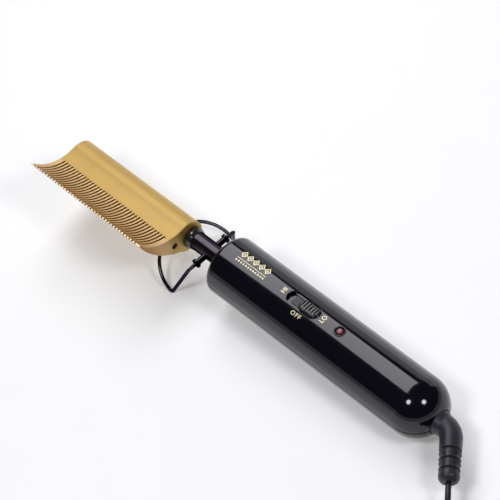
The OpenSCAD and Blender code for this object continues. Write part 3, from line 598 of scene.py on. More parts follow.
# %% Lamp lens: pinkish plastic, dark red towards its rim
paint, flow, shader = start_finish("lamp_lens", IOR=1.55, Transmission_Weight=0.15)
corners = np.array([nodes["lamp_lens"].matrix_world @ Vector(c) for c in nodes["lamp_lens"].bound_box])
lens_x, lens_y = corners.mean(axis=0)[:2].tolist()
from_axis = flow.add("ShaderNodeVectorMath", {"operation": "LENGTH"}, out=1,
                     i0=place_of(flow, (1, 1, 0), spot=(-lens_x, -lens_y, 0.0)))
where = place_of(flow)
frost = noise(flow, where, 1800.0, 2.0)
ripple = noise(flow, where, 900.0, 3.0)
rim = flow.add("ShaderNodeMapRange", Value=from_axis, From_Min=1.1 * MM, From_Max=1.7 * MM)
face = ripple.mix(srgb(150, 92, 98), srgb(196, 138, 144))
surface(flow, shader, rim.mix(face, srgb(96, 14, 26)), 0.06 + frost * 0.1, frost, 0.00003, 0.3)
finishes["lens_plastic"] = paint
print("made", paint.name, "about", round(lens_x, 4), round(lens_y, 4), "m")

# %% Each solid gets its finish
for node in nodes.values():
    for slot in node.material_slots:
        slot.material = finishes[slot.material.name.split(".")[0]]
nodes["neck_tube"].material_slots[0].material = neck_paint
nodes["head_screw"].material_slots[0].material = finishes["black_metal"]
print("finishes on", len(nodes), "solids:", len(finishes) + 1, "in all")

# %% [markdown]
# ## Comb head
# The comb is one casting: a round spine, and a blade that is hollow-ground on one face
# and sawn into 39 teeth. Its section is three arcs. The hollow face is an arc that runs
# into the spine's circle, the back is a long arc, and a straight line cuts the teeth to
# length, where a small half circle blunts them. One grid holds that outline at every
# station along the comb, and between two stations either the whole outline is skinned,
# which is a tooth, or only its body, which is a slot. Each tooth's edges are drawn in a
# little at its two flanks, so every edge is a chamfer that catches the light.

# %% Outline of the comb
SPINE, SPINE_R = np.array([-1.726, 1.2819]), 9.2
HOLLOW, HOLLOW_R = np.array([-8.8776, 34.0815]), 24.4
# drawn back by 0.03 mm, so that the two circles touch and the hollow has no crease
HOLLOW = SPINE + (HOLLOW - SPINE) * (HOLLOW_R + SPINE_R) / np.linalg.norm(HOLLOW - SPINE)
BACK, BACK_R = np.array([10.0, 33.0]), 42.0
TIP_WAY = np.array([np.cos(np.radians(26)), np.sin(np.radians(26))])
# points on the outline: on a tooth's face, on the body's, on the spine and on a tip
TOOTH, BODY, ROUND, CAP = 26, 16, 64, 7
tip_r = 0.42
TIP = np.array([-30.9, 22.6]) + tip_r * np.array([TIP_WAY[1], -TIP_WAY[0]])
ROOT, ROOT_WAY = np.array([-13.1, 10.5]), np.array([-1.8, -14.5]) / np.hypot(1.8, 14.5)
comb_x0, comb_x1 = -117.0, -27.8


def line_on_circle(start, way, centre, r, pick):
    """Where start + k way meets a circle: k is -b plus or minus the root of
    b^2 - c, with b = way . (start - centre) and c = |start - centre|^2 - r^2."""
    to = start - centre
    b, c = way @ to, to @ to - r * r
    return start + (-b + pick * np.sqrt(b * b - c)) * way


def circles_cross(a, ra, b, rb, pick):
    """Where two circles cross: along their line of centres by (d^2 + ra^2 - rb^2) / 2d,
    then square to it, to the side that pick names."""
    d = np.linalg.norm(b - a)
    way = (b - a) / d
    along = (d * d + ra * ra - rb * rb) / (2 * d)
    square = np.sqrt(max(ra * ra - along * along, 0.0))
    return a + along * way + pick * square * np.array([-way[1], way[0]])


def arc(centre, start, end, count, turn):
    """Points on a circle from start to end, both included; turn is +1 for the way that
    angles grow and -1 for the other."""
    a = np.arctan2(*(start - centre)[::-1])
    b = np.arctan2(*(end - centre)[::-1])
    b = a + turn * ((turn * (b - a)) % (2 * np.pi))
    angle = np.linspace(a, b, count)
    r = np.linspace(np.linalg.norm(start - centre), np.linalg.norm(end - centre), count)
    return centre + r[:, None] * np.column_stack([np.cos(angle), np.sin(angle)])


tip_in = line_on_circle(TIP, TIP_WAY, HOLLOW, HOLLOW_R, -1)
tip_out = line_on_circle(TIP, TIP_WAY, BACK, BACK_R, -1)
tip_extra = 2 * tip_r - np.linalg.norm(tip_out - tip_in)
root_in = line_on_circle(ROOT, ROOT_WAY, HOLLOW, HOLLOW_R, 1)
root_out = line_on_circle(ROOT, ROOT_WAY, BACK, BACK_R, 1)
join_in = circles_cross(SPINE, SPINE_R, HOLLOW, HOLLOW_R, 1)
join_out = circles_cross(SPINE, SPINE_R, BACK, BACK_R, 1)
print("tips", tip_in.round(2), tip_out.round(2), "roots", root_in.round(2), root_out.round(2),
      "joins", join_in.round(2), join_out.round(2))

# %% Outline as points
hollow_tooth = arc(HOLLOW, tip_in, root_in, TOOTH, 1)
hollow_body = arc(HOLLOW, root_in, join_in, BODY, 1)
round_back = arc(SPINE, join_in, join_out, ROUND, -1)
back_body = arc(BACK, join_out, root_out, BODY, -1)
back_tooth = arc(BACK, root_out, tip_out, TOOTH, -1)
away = back_tooth - hollow_tooth[::-1]
away /= np.linalg.norm(away, axis=1, keepdims=True)
back_tooth = back_tooth + away * tip_extra * np.linspace(0, 1, TOOTH)[:, None] ** 2
cap_middle = (hollow_tooth[0] + back_tooth[-1]) / 2
cap = arc(cap_middle, back_tooth[-1], hollow_tooth[0], CAP + 2, -1)[1:-1]
outline = np.concatenate([hollow_tooth, hollow_body[1:], round_back[1:], back_body[1:], back_tooth[1:], cap])
inward = np.concatenate([
    (hollow_tooth - HOLLOW) / HOLLOW_R, (hollow_body[1:] - HOLLOW) / HOLLOW_R,
    (SPINE - round_back[1:]) / SPINE_R, (BACK - back_body[1:]) / BACK_R,
    (BACK - back_tooth[1:]) / BACK_R, (cap_middle - cap) / tip_r])
n_out = len(outline)
at_root_out = n_out - CAP - TOOTH
at_tip_out = n_out - CAP - 1
# how thick the blade is at each point, where edges may be drawn in by a share of it
body_thick = 9.0
thick = np.linalg.norm(hollow_tooth - back_tooth[::-1], axis=1)
thick = np.concatenate([thick, np.full(at_root_out - TOOTH, body_thick), thick[::-1],
                        np.full(CAP, 2 * tip_r)])
from_root = np.concatenate([arc_lengths(hollow_tooth[::-1])[::-1], np.zeros(at_root_out - TOOTH),
                            arc_lengths(back_tooth), np.full(CAP, arc_lengths(back_tooth)[-1])])
print("outline:", n_out, "points, the blade is", round(float(thick.min()), 2), "mm thin at the tips")

# %% Stations along the comb
tooth_pitch, slot_w, slots, end_margin = 2.2, 0.9, 38, 3.9
tooth_edge, end_edge, share, flank_fade = 0.11, 0.35, 0.35, 0.6
slot_x = comb_x0 + end_margin + np.arange(slots) * tooth_pitch
stations = [(comb_x0, "end"), (comb_x0 + end_edge, "full")]
for x in slot_x:
    stations += [(x - slot_w / 2 - tooth_edge, "full"), (x - slot_w / 2, "flank"),
                 (x + slot_w / 2, "flank"), (x + slot_w / 2 + tooth_edge, "full")]
stations += [(comb_x1 - end_edge, "full"), (comb_x1, "end")]
draw_in = {"full": np.zeros(n_out),
           "end": np.minimum(end_edge, share * thick),
           "flank": np.minimum(tooth_edge, share * thick) * np.clip(from_root / flank_fade, 0, 1)}
grid = np.stack([np.column_stack([np.full(n_out, x), outline + draw_in[kind][:, None] * inward])
                 for x, kind in stations])
in_slot = np.array([a[1] == "flank" and b[1] == "flank" for a, b in zip(stations, stations[1:])])
k = np.arange(grid.shape[0] * n_out).reshape(-1, n_out)
body_edge = (np.arange(n_out) >= TOOTH - 1) & (np.arange(n_out) < at_root_out)
keep = ~in_slot[:, None] | body_edge[None]
faces = ring_quads(k)[keep].tolist()
# the slot's floor joins the two roots, and a flank is a ladder between the tooth's faces
floor = np.stack([k[:-1, TOOTH - 1], k[:-1, at_root_out], k[1:, at_root_out], k[1:, TOOTH - 1]], axis=-1)
cut_faces = floor[in_slot].tolist()
rung = np.arange(TOOTH - 1)
other = at_tip_out - rung
for i, (x, kind) in enumerate(stations):
    if kind == "flank":
        ladder = np.stack([k[i, rung], k[i, rung + 1], k[i, other - 1], k[i, other]], axis=-1)
        cut_faces += ladder.tolist() + [[k[i, 0]] + k[i, at_tip_out:][::-1].tolist()]
print("comb:", len(slot_x), "slots,", len(stations), "stations,", len(cut_faces), "sawn faces")


# %% End faces, with the seat for the collar and the bores
def flat_face(loops):
    """Triangles over an outline, the first loop, with round holes, the others: a
    constrained Delaunay net, without the triangles that lie on one hole's points."""
    co = np.concatenate(loops)
    owner = np.repeat(np.arange(len(loops)), [len(loop) for loop in loops])
    edges, at = [], 0
    for loop in loops:
        i = np.arange(len(loop))
        edges += np.column_stack([at + i, at + (i + 1) % len(loop)]).tolist()
        at += len(loop)
    found = geometry.delaunay_2d_cdt([Vector(c) for c in co.tolist()], edges, [], 1, 1e-7)
    source = [o[0] for o in found[3]]
    faces = [[source[v] for v in f] for f in found[2]]
    return [f for f in faces if len(set(owner[f])) > 1 or owner[f[0]] == 0]


def ring_at(x, centre, r, count):
    a = np.linspace(0, 2 * np.pi, count, endpoint=False)
    return np.column_stack([np.full(count, x), centre[0] + r * np.cos(a), centre[1] + r * np.sin(a)])


points = [grid.reshape(-1, 3)]
count = grid.shape[0] * n_out
far_end = flat_face([grid[0, :, 1:]])
faces += [[k[0, v] for v in f] for f in far_end]
# the collar's seat with the heater's bore behind it, and the sensor's bore: steps of
# [x, radius], the middle in the section, and how many points go round
seat_r, seat_end, bore_r, bore_end = 6.3, comb_x1 - 8.0, 5.0, comb_x0 + 8.0
sensor_r, sensor_end = 1.8, comb_x1 - 12.5
seats = [([(comb_x1, seat_r), (seat_end, seat_r), (seat_end, bore_r), (bore_end, bore_r)],
          (0.0, 0.0), 64),
         ([(comb_x1, sensor_r), (sensor_end, sensor_r)], (-11.3, 3.2), 32)]
mouths = []
for steps, centre, m in seats:
    rings = np.stack([ring_at(x, centre, r, m) for x, r in steps])
    j = count + np.arange(rings.shape[0] * m).reshape(-1, m)
    faces += ring_quads(j).reshape(-1, 4).tolist()
    faces.append(j[-1].tolist())
    points.append(rings.reshape(-1, 3))
    mouths.append(j[0])
    count += rings.shape[0] * m
near_loops = [grid[-1, :, 1:]] + [ring_at(0, middle, steps[0][1], m)[:, 1:] for steps, middle, m in seats]
near_index = np.concatenate([k[-1]] + mouths)
near_end = flat_face(near_loops)
faces += [[int(near_index[v]) for v in f] for f in near_end]
print("end faces:", len(far_end), "triangles far,", len(near_end), "near")

# %% Comb head as one closed mesh
mesh = bpy.data.meshes.new("comb")
all_faces = [list(map(int, face)) for face in faces + cut_faces]
mesh.from_pydata(on_handle(np.concatenate(points)).tolist(), [], all_faces)
bm = bmesh.new()
bm.from_mesh(mesh)
bmesh.ops.recalc_face_normals(bm, faces=bm.faces)
bm.to_mesh(mesh)
open_edges = sum(not e.is_manifold for e in bm.edges)
bm.free()
comb = face_outwards(add_object("comb", mesh))
mesh.set_sharp_from_angle(angle=np.radians(28))
# attributes for the finish: sawn faces, which it paints darker as painted shade, the tips'
# end faces, which it paints near white as a painted highlight, and the distance from the root
column = np.broadcast_to(np.arange(n_out), keep.shape)[keep]
# the tips' end faces are marked for a painted highlight
tip = np.zeros(len(mesh.polygons))
tip[:len(column)] = column >= at_tip_out
mesh.attributes.new("tip", "FLOAT", "FACE").data.foreach_set("value", tip)
# the sawn faces are marked for the painted shade in the slots
sawn = np.zeros(len(mesh.polygons))
sawn[len(faces):] = 1.0
mesh.attributes.new("sawn", "FLOAT", "FACE").data.foreach_set("value", sawn)
reach = np.zeros(sum(len(p) for p in points))
reach[:grid.shape[0] * n_out] = np.tile(from_root, grid.shape[0])
mesh.attributes.new("reach", "FLOAT", "POINT").data.foreach_set("value", reach)
comb.data.materials.append(finishes["gold_metal"])
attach(comb, "handle")
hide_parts("comb_head")
print("comb:", len(mesh.polygons), "faces,", open_edges, "open edges")
print("the longest tooth face is", round(float(reach.max()), 1), "mm")

# %% [markdown]
# ## Sliding button
# The button is a rounded oval with ribs across it, so that a thumb can push it. It is a
# height over an oval: flat, rounded off near the rim, and lifted by a smooth wave that
# fades before the rim. Each station along it is a closed ring over the top and down
# the walls. Under it a thin shield slides with it and hides the slot in the recess.

# %% Sliding button
button_x, button_l, button_w, button_top, floor_z = 63.5, 13.0, 7.6, 16.6, 14.9
button_rim, crown_h, rib_h, rib_pitch = 0.9, 0.55, 0.55, 1.75


def past_straight(x):
    """How far x lies beyond the oval's straight stretch, in its round ends."""
    return np.maximum(np.abs(x) - (button_l - button_w) / 2, 0)


def button_height(x, y):
    """Height of the button's top: with d the distance from its rim, the edge falls as
    1 - sqrt(1 - (1 - d / rim)^2), the middle is crowned by 1 - (2 y / w)^2, and the ribs
    are a cosine whose crests are cut flat, faded in from d."""
    d = np.clip(button_w / 2 - np.hypot(past_straight(x), y), 0, None)
    edge = np.sqrt(np.clip(1 - (1 - np.clip(d / button_rim, 0, 1)) ** 2, 0, 1))
    crown = crown_h * (1 - (2 * y / button_w) ** 2)
    ribs = np.minimum(0.85 + 0.85 * np.cos(2 * np.pi * x / rib_pitch), 1) * soft_step((d - 0.5) / 0.6)
    return button_top - 0.5 - button_rim * (1 - edge) * 0.9 + crown + rib_h * ribs


# stations and points lie closer together towards the rim, where the top falls away
x = np.sin(np.linspace(-np.pi / 2, np.pi / 2, 141)) * (button_l / 2 - 0.005)
half_w = np.sqrt(np.maximum((button_w / 2) ** 2 - past_straight(x) ** 2, 0))
v = np.sin(np.linspace(-np.pi / 2, np.pi / 2, 41))
top = np.stack([np.broadcast_to(x[:, None], (141, 41)), half_w[:, None] * v], axis=-1)
top = np.concatenate([top, button_height(top[..., 0], top[..., 1])[..., None]], axis=-1)
low = top[:, ::-1][:, [0, -1]].copy()
low[..., 2] = floor_z + 0.1
button = skin("ribbed_button", on_handle(np.concatenate([top, low], axis=1) + [button_x, 0, 0]))
button.data.set_sharp_from_angle(angle=np.radians(50))
print("button:", len(button.data.polygons), "faces")

# %% Shield under the button
shield_l, shield_w, shield_t = 22.7, 5.0, 0.5
# its thickness grows from the ends: [mm from the end, share of the thickness]
rounding = np.array([[0.0, 0.2], [0.06, 0.6], [0.15, 0.85], [0.3, 1.0], [0.5, 1.0]])
x = np.concatenate([-shield_l / 2 + rounding[:, 0], shield_l / 2 - rounding[::-1, 0]])
half_t = shield_t / 2 * np.concatenate([rounding[:, 1], rounding[::-1, 1]])
round_y, round_z = squarish(np.linspace(0, 2 * np.pi, 32, endpoint=False), 0.25)
shield = skin("slot_shield", on_handle(np.stack([
    np.broadcast_to(x[:, None], (10, 32)) + button_x, shield_w / 2 * np.broadcast_to(round_y, (10, 32)),
    floor_z - shield_t / 2 + half_t[:, None] * round_z], axis=-1)))
print("shield:", len(shield.data.polygons), "faces")


# %% Black that thumbs have rubbed
def thumbed_black(name, index, gloss):
    """Black plastic that fingers have rubbed: soft clouds in colour and gloss."""
    paint, flow, shader = start_finish(name, IOR=index)
    grain = noise(flow, place_of(flow), 1600.0, 3.0)
    rubbed = noise(flow, place_of(flow), 420.0, 4.0, 0.6)
    surface(flow, shader, rubbed.mix(srgb(10, 8, 14), srgb(22, 20, 26)),
            gloss + rubbed * 0.12, grain, 0.00002, 0.5)
    return paint


button.data.materials.append(thumbed_black("button_black", 1.6, 0.1))
shield.data.materials.append(thumbed_black("shield_black", 1.42, 0.28))
for piece in (button, shield):
    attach(piece, "switch")
    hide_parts("switch_button")
print("finishes:", button.data.materials[0].name, "and", shield.data.materials[0].name)

# %% [markdown]
# ## Ring round the lamp
# The lamp's ring is a turned shape: one closed profile of radii and heights, carried
# once round the lamp's axis. Its top is a half circle, so that a highlight runs round it.

# %% Lamp ring
lamp_x, ring_in, ring_out, ring_foot, ring_top = 84.5, 2.28, 3.2, 13.4, 16.85
half = (ring_out - ring_in) / 2
a = np.linspace(0, np.pi, 15)
profile = np.concatenate([
    [[ring_in, ring_foot], [ring_out, ring_foot]],
    np.column_stack([ring_in + half + half * np.cos(a), ring_top - half + half * np.sin(a)])])
a = np.linspace(0, 2 * np.pi, 72, endpoint=False)[None]
r, z = profile[:, :1], profile[:, 1:]
ring = np.stack([lamp_x + r * np.cos(a), r * np.sin(a), np.broadcast_to(z, (len(profile), 72))], axis=-1)
lamp_ring = skin("lamp_ring", on_handle(ring), loop=True)
lamp_ring.data.set_sharp_from_angle(angle=np.radians(50))
lamp_ring.data.materials.append(finishes["bezel_plastic"])
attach(lamp_ring, "handle")
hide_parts("lamp_bezel")
print("lamp ring:", len(lamp_ring.data.polygons), "faces")

# %% [markdown]
# ## Swivelling elbow
# The lead leaves through a moulded elbow that turns in a bearing in the round end.
# Its tail tapers a little towards the lead and has three grooves, and windows between
# them in both sides, which let it bend gently with the lead instead of kinking it. It
# is a profile carried along a path: straight out of the handle, round a bend of 50
# degrees and straight again. The profile is one list of distances along the path and
# radii, and the windows are then pressed into the skin.

# %% Path and radius of the elbow
bend_start, bend_radius, bend_turn, tail = 151.6, 10.0, np.radians(50), 23.8
bend_length = bend_radius * bend_turn
tail_start = bend_start + bend_length
GROOVES = (7.4, 12.7, 18.0)
end_round, round_from = 3.4, 20.4
groove_w, groove_deep, window_deep = 1.9, 1.0, 1.4


def elbow_axis(s):
    """Middle line of the elbow at distance s from the handle's rim: straight along x,
    then an arc (sin, cos - 1) times the bend radius, then straight at 50 degrees."""
    a = np.clip((s - bend_start) / bend_radius, 0, bend_turn)
    run = np.minimum(s, bend_start)
    rest = np.maximum(s - tail_start, 0)
    x = run + bend_radius * np.sin(a) + rest * np.cos(bend_turn)
    y = -bend_radius * (1 - np.cos(a)) - rest * np.sin(bend_turn)
    ahead = np.column_stack([np.cos(a), -np.sin(a), np.zeros_like(a)])
    return np.column_stack([x, y, np.zeros_like(x)]), ahead


def elbow_tail(s):
    """Radius of the tail: a slow taper from 5.6 to 5.2 mm, minus three grooves with
    soft shoulders, and a quarter circle of 3.4 mm that rounds the end."""
    d = s - tail_start
    r = 5.6 - 0.4 * np.clip(d / 17.2, 0, 1)
    for groove in GROOVES:
        r = r - groove_deep * soft_step((groove_w / 2 - np.abs(d - groove)) / 0.35)
    over = np.clip(d - round_from, 0, end_round)
    return r - end_round + np.sqrt(np.maximum(end_round ** 2 - over ** 2, 0))


def window_depth(s, angle):
    """How far the windows are pressed in: 1.4 mm between two grooves, times a step with
    soft shoulders along the tail, times another round it that spares a web above and
    below, where the cosine of the angle is small."""
    d = np.abs((s - tail_start)[:, None] - (np.array(GROOVES[1:]) + GROOVES[:-1]) / 2).min(axis=1)
    along = soft_step((1.3 - d) / 0.4)[:, None]
    around = soft_step((np.abs(np.cos(angle)) - 0.32) / 0.16)[None]
    return window_deep * along * around


print("radius at the grooves:", elbow_tail(tail_start + np.array(GROOVES)).round(2), "mm")

# %% Elbow from its profile
tail_s = tail_start + np.unique(np.concatenate([
    np.linspace(0, round_from, 90), *[np.linspace(g - 1, g + 1, 21) for g in GROOVES],
    round_from + end_round * np.sin(np.linspace(0, np.pi / 2, 12))]))
# the stem in its bearing, hollow from behind, and the collar: [distance, radius]
stem = np.array([[150.1, 0.05], [150.1, 2.4], [131.0, 2.4], [131.0, 4.1], [131.4, 4.5],
                 [143.8, 4.5], [143.8, 5.9], [143.95, 6.3], [144.4, 6.5], [149.0, 6.5],
                 [149.6, 6.42], [150.2, 6.2], [151.6, 5.75]])
bend_s = np.linspace(151.9, tail_start - 0.3, 14)
elbow_profile = np.concatenate([stem, np.column_stack([bend_s, 5.75 - 0.15 * np.linspace(0, 1, 14)]),
                                np.column_stack([tail_s, elbow_tail(tail_s)]),
                                [[tail_start + tail, 1.2], [tail_start + tail, 0.05]]])
middle, ahead = elbow_axis(elbow_profile[:, 0])
aside = np.cross([0.0, 0.0, 1.0], ahead)
angles = np.linspace(0, 2 * np.pi, 96, endpoint=False)
ring = (np.cos(angles)[None, :, None] * aside[:, None]
        + np.sin(angles)[None, :, None] * np.array([0, 0, 1.0]))
radius = elbow_profile[:, 1:] - window_depth(elbow_profile[:, 0], angles)
elbow_grid = on_handle(middle[:, None] + radius[..., None] * ring)
elbow = skin("swivel_elbow", elbow_grid, lengths=arc_lengths(elbow_profile * MM))
elbow.data.materials.append(finishes["cord_rubber"])
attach(elbow, "cord_swivel")
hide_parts("cord_elbow")
print("elbow:", len(elbow.data.vertices), "points")

# %% [markdown]
# ## Coil tie
# A hook-and-loop strap holds the wound lead. It is a flat woven band with round
# corners, closed on itself round the turns. Its section is swept round a rounded
# rectangle; a band cut from a box would have knife edges.

# %% Coil tie
tie_w, tie_turn, tie_from_middle = 6.0, np.radians(-20.0), 18.0


def rounded_ring(half_w, low, high, r, per_corner=8):
    """Rounded rectangle in a plane: a quarter circle of radius r about each corner's
    centre, joined in order."""
    a = np.linspace(0, np.pi / 2, per_corner)
    corners = [(half_w - r, high - r, 0), (-half_w + r, high - r, 1),
               (-half_w + r, low + r, 2), (half_w - r, low + r, 3)]
    return np.concatenate([np.column_stack([cx + r * np.cos(a + q * np.pi / 2),
                                            cz + r * np.sin(a + q * np.pi / 2)])
                           for cx, cz, q in corners])


def closed_band(name, loop_out, loop_in):
    """Band between an outer and an inner closed loop of [x, z]. Its outside is spread
    over the band's width with softly rounded edges: there the outer loop draws in
    towards the inner one. The band is then turned about the coil's middle, to where it
    straddles the turns."""
    half = tie_w / 2
    # [share of the half width, share of the thickness] from one edge to the middle
    edge = np.array([[-1, 0.55], [-0.8756, 0.7075], [-0.7644, 0.91], [-0.45, 1], [0, 1]])
    section = [(half * y, t) for y, t in edge] + [(-half * y, t) for y, t in edge[-2::-1]]
    section += [(half, 0.0), (-half, 0.0)]
    rows = [loop_in + (loop_out - loop_in) * t for _, t in section]
    grid = np.stack([np.insert(row, 1, y, axis=1) for row, (y, _) in zip(rows, section)])
    swing = np.array([[np.cos(tie_turn), -np.sin(tie_turn), 0],
                      [np.sin(tie_turn), np.cos(tie_turn), 0], [0, 0, 1]])
    return skin(name, (grid @ swing.T + [coil_middle[0], coil_middle[1], 0]) * MM, loop=True)


outside = rounded_ring(7.5, 0.02, 13.25, 1.8) - [tie_from_middle, 0]
inside = rounded_ring(6.6, 0.5, 12.4, 1.1) - [tie_from_middle, 0]
strap = closed_band("coil_strap", outside, inside)
paint, flow, shader = start_finish("woven_strap", IOR=1.45, Sheen_Weight=0.3)
where = place_of(flow)
warp = flow.add("ShaderNodeTexWave", {"wave_type": "BANDS", "bands_direction": "Y"},
                Vector=where, Scale=420.0)
weft = flow.add("ShaderNodeTexWave", {"wave_type": "BANDS", "bands_direction": "DIAGONAL"},
                Vector=where, Scale=300.0)
surface(flow, shader, (warp * 0.5 + weft * 0.3).mix(srgb(16, 16, 20), srgb(46, 45, 50)),
        0.7 + warp * 0.15, warp * 0.6 + weft * 0.4, 0.00012, 0.7)
strap.data.materials.append(paint)
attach(strap, "handle")
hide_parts("coil_tie")
print("strap:", len(strap.data.polygons), "faces")

# %% [markdown]
# ## Plug
# The two-blade plug is moulded round its blades: a flat body with rounded edges, finger
# grooves on both broad sides, and a tapered relief with cuts where the lead enters.
# Its section is a superellipse, and its width, height and squareness change along the
# length: round where the lead enters, and nearly a rectangle at the blades.

# %% Plug
plug_end = run_plug[-1, :2]
relief_l, body_from, body_l, tip_hole = 8.2, 9.0, 16.0, 0.1
cut_at, cut_w, cut_deep = np.array([1.9, 3.7, 5.5]), 0.33, 0.55
grip_from, grip_l, grip_count, grip_deep = 4.0, 9.2, 5, 0.42


def plug_rings(d, half_w, half_h, square, m=72):
    """Rings of a superellipse with the half widths half_w and half_h and the power
    2 / square, at distance d past the lead's end, along +y."""
    a = np.linspace(0, 2 * np.pi, m, endpoint=False)[None]
    x, z = squarish(a, 2 / square[:, None])
    y = np.broadcast_to(d[:, None], x.shape)
    return np.stack([plug_end[0] + half_w[:, None] * x, plug_end[1] + y, plug_z + half_h[:, None] * z],
                    axis=-1)


relief_d = np.linspace(0.0, relief_l, 34)
cuts = np.exp(-((relief_d[:, None] - cut_at) / cut_w) ** 2).sum(axis=1)
relief_r = 3.0 + 2.4 * relief_d / relief_l - cut_deep * cuts
# the body's two ends are eased off: [mm from the end, share of the width taken away]
back = np.array([[0.0, 1.0], [0.25, 0.55], [0.8, 0.24], [1.7, 0.07], [3.0, 0.0]])
front = np.array([[1.6, 0.02], [0.8, 0.06], [0.3, 0.14], [0.05, 0.3], [0.0, 0.5]])
grip_x = np.linspace(grip_from, grip_from + grip_l, 40)
body_x = np.concatenate([back[:, 0], grip_x, body_l - front[:, 0]])
ease = 1 - np.concatenate([back[:, 1], np.zeros(40), front[:, 1]])
wave = 0.5 - 0.5 * np.cos((body_x - grip_from) / grip_l * grip_count * 2 * np.pi)
to_edge = grip_l / 2 + 0.1 - np.abs(body_x - grip_from - grip_l / 2)
grips = grip_deep * wave * np.clip(to_edge / 0.4, 0, 1)
d = np.concatenate([[0.0], relief_d, body_from + body_x, [body_from + body_l]])
wide = np.concatenate([[tip_hole], relief_r, 5.6 + 5.35 * ease, [tip_hole]])
high = np.concatenate([[tip_hole], relief_r, 5.2 + 0.78 * ease - grips, [tip_hole]])
square = np.concatenate([[2.0], np.full(34, 2.0), 2.2 + 1.6 * ease, [2.2]])
plug = skin("plug_moulding", plug_rings(d, wide, high, square) * MM, lengths=d * MM)
plug.data.materials.append(finishes["plug_plastic"])
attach(plug, "handle")
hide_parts("plug_body")
print("plug:", len(plug.data.vertices), "points")

# %% [markdown]
# ## The lead's finish
# The lead gets a grained black jacket, mapped along its own length, and stands for the
# plain tube and ring of the solids, which are hidden.

# %% Finish of the lead
lead.data.materials.append(grained_black("lead_jacket", srgb(20, 19, 25), srgb(36, 34, 40), 0.3, by="UV"))
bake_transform(lead)
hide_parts("cord", "cord_coil")

# %% [markdown]
# ## Printed legends
# The switch positions are hot-stamped in gold foil: HI and LO at the ends of the
# travel and OFF beside its middle. Foil is thin, so letters are flat shapes wrapped
# round the shell. A flat letter would cut into the round shell, so it is sliced into
# narrow strips first and every point is then carried to the shell's radius.

# %% Gold foil
foil, flow, shader = start_finish("gold_foil", Metallic=0.1)
crackle = noise(flow, place_of(flow), 1400.0, 4.0, 0.7)
surface(flow, shader, crackle.mix(srgb(242, 224, 172), srgb(255, 246, 214)),
        0.3 + crackle * 0.2, crackle, 0.00001, 0.4)
print("made", foil.name)

# %% Stamping a flat shape on the shell
shell_r, foil_up, foil_down = 16.5, 0.05, -0.05


def wrap(x, arc, lift):
    """Points on the shell: x mm from the rim, arc mm round from the top towards -y,
    lift mm above it. The angle is arc over radius, and y and z are its sin and cos."""
    a = arc / shell_r
    r = shell_r + lift
    return on_handle(np.stack([x, -r * np.sin(a), r * np.cos(a)], axis=-1))


def stamped(name, points, faces):
    """Closed foil: faces on top, the same faces turned over below, and a wall along
    every edge that only one face has. points hold [x, arc] in mm."""
    n = len(points)
    edges = {}
    for face in faces:
        for a, b in zip(face, face[1:] + face[:1]):
            edges[(a, b)] = edges.get((a, b), 0) + 1
    rim = [(a, b) for a, b in edges if (b, a) not in edges]
    walls = [[a, a + n, b + n, b] for a, b in rim]
    under = [[i + n for i in reversed(face)] for face in faces]
    top = wrap(points[:, 0], points[:, 1], foil_up)
    low = wrap(points[:, 0], points[:, 1], foil_down)
    mesh = bpy.data.meshes.new(name)
    mesh.from_pydata(np.concatenate([top, low]).tolist(), [], faces + under + walls)
    piece = face_outwards(add_object(name, mesh, smooth=False))
    piece.data.materials.append(foil)
    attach(piece, "handle")
    return piece


print("foil stands", foil_up, "mm above a shell of", shell_r, "mm")

# %% Legends
strip_w, letter_swell = 0.3, 0.018


def legend(name, word, height, middle, reading, letter_up, spread=1.0):
    """Word whose letters are height mm tall, centred at middle = [x, arc]; reading and
    letter_up are the directions of the text and of the letters' tops in [x, arc], and
    spread widens the gaps between the letters."""
    face = bpy.data.curves.new(name + "_type", "FONT")
    face.body = word
    face.resolution_u = 3
    face.offset = letter_swell
    face.space_character = spread
    type_object = bpy.data.objects.new(name + "_type", face)
    bpy.context.scene.collection.objects.link(type_object)
    bpy.context.view_layer.update()
    flat = bpy.data.meshes.new_from_object(type_object)
    bpy.data.objects.remove(type_object)
    bm = bmesh.new()
    bm.from_mesh(flat)
    bmesh.ops.remove_doubles(bm, verts=bm.verts, dist=1e-5)
    size = np.array([v.co[:2] for v in bm.verts])
    low, high = size.min(axis=0), size.max(axis=0)
    scale = height / (high[1] - low[1])
    for way in (0, 1):
        for cut in np.arange(low[way], high[way], strip_w / scale)[1:]:
            normal = (1, 0, 0) if way == 0 else (0, 1, 0)
            bmesh.ops.bisect_plane(bm, geom=bm.verts[:] + bm.edges[:] + bm.faces[:],
                                   plane_co=(cut, cut, 0), plane_no=normal)
    bm.verts.index_update()
    at = (np.array([v.co[:2] for v in bm.verts]) - (low + high) / 2) * scale
    faces = [[v.index for v in f.verts] for f in bm.faces]
    up = sum(f.normal.z for f in bm.faces)
    bm.free()
    points = np.asarray(middle, float) + at[:, :1] * np.asarray(reading, float) \
        + at[:, 1:] * np.asarray(letter_up, float)
    # arc grows towards -y, so a right-handed pair of directions on the shell has
    # reading x letter_up negative in [x, arc]; other pairs turn the faces over
    turned = (reading[0] * letter_up[1] - reading[1] * letter_up[0]) * up > 0
    return stamped(name, points, [f[::-1] if turned else f for f in faces])


high_mark = legend("legend_high", "HI", 2.6, (45.5, 0.0), (0, -1), (-1, 0))
low_mark = legend("legend_low", "LO", 2.6, (73.1, 0.0), (0, -1), (-1, 0))
off_mark = legend("legend_off", "OFF", 2.4, (59.9, 6.6), (1, 0), (0, -1), spread=1.25)
print("legends:", [len(p.data.polygons) for p in (high_mark, low_mark, off_mark)], "faces")

# %% [markdown]
# ## Foil ornament
# Such a handle often carries a stamped mark near its front. Here it is a plain row of
# lozenges, each with a smaller one inside it, over a thin rule and a row of dots. They
# are all the same shape in other sizes, so it is written once and repeated.

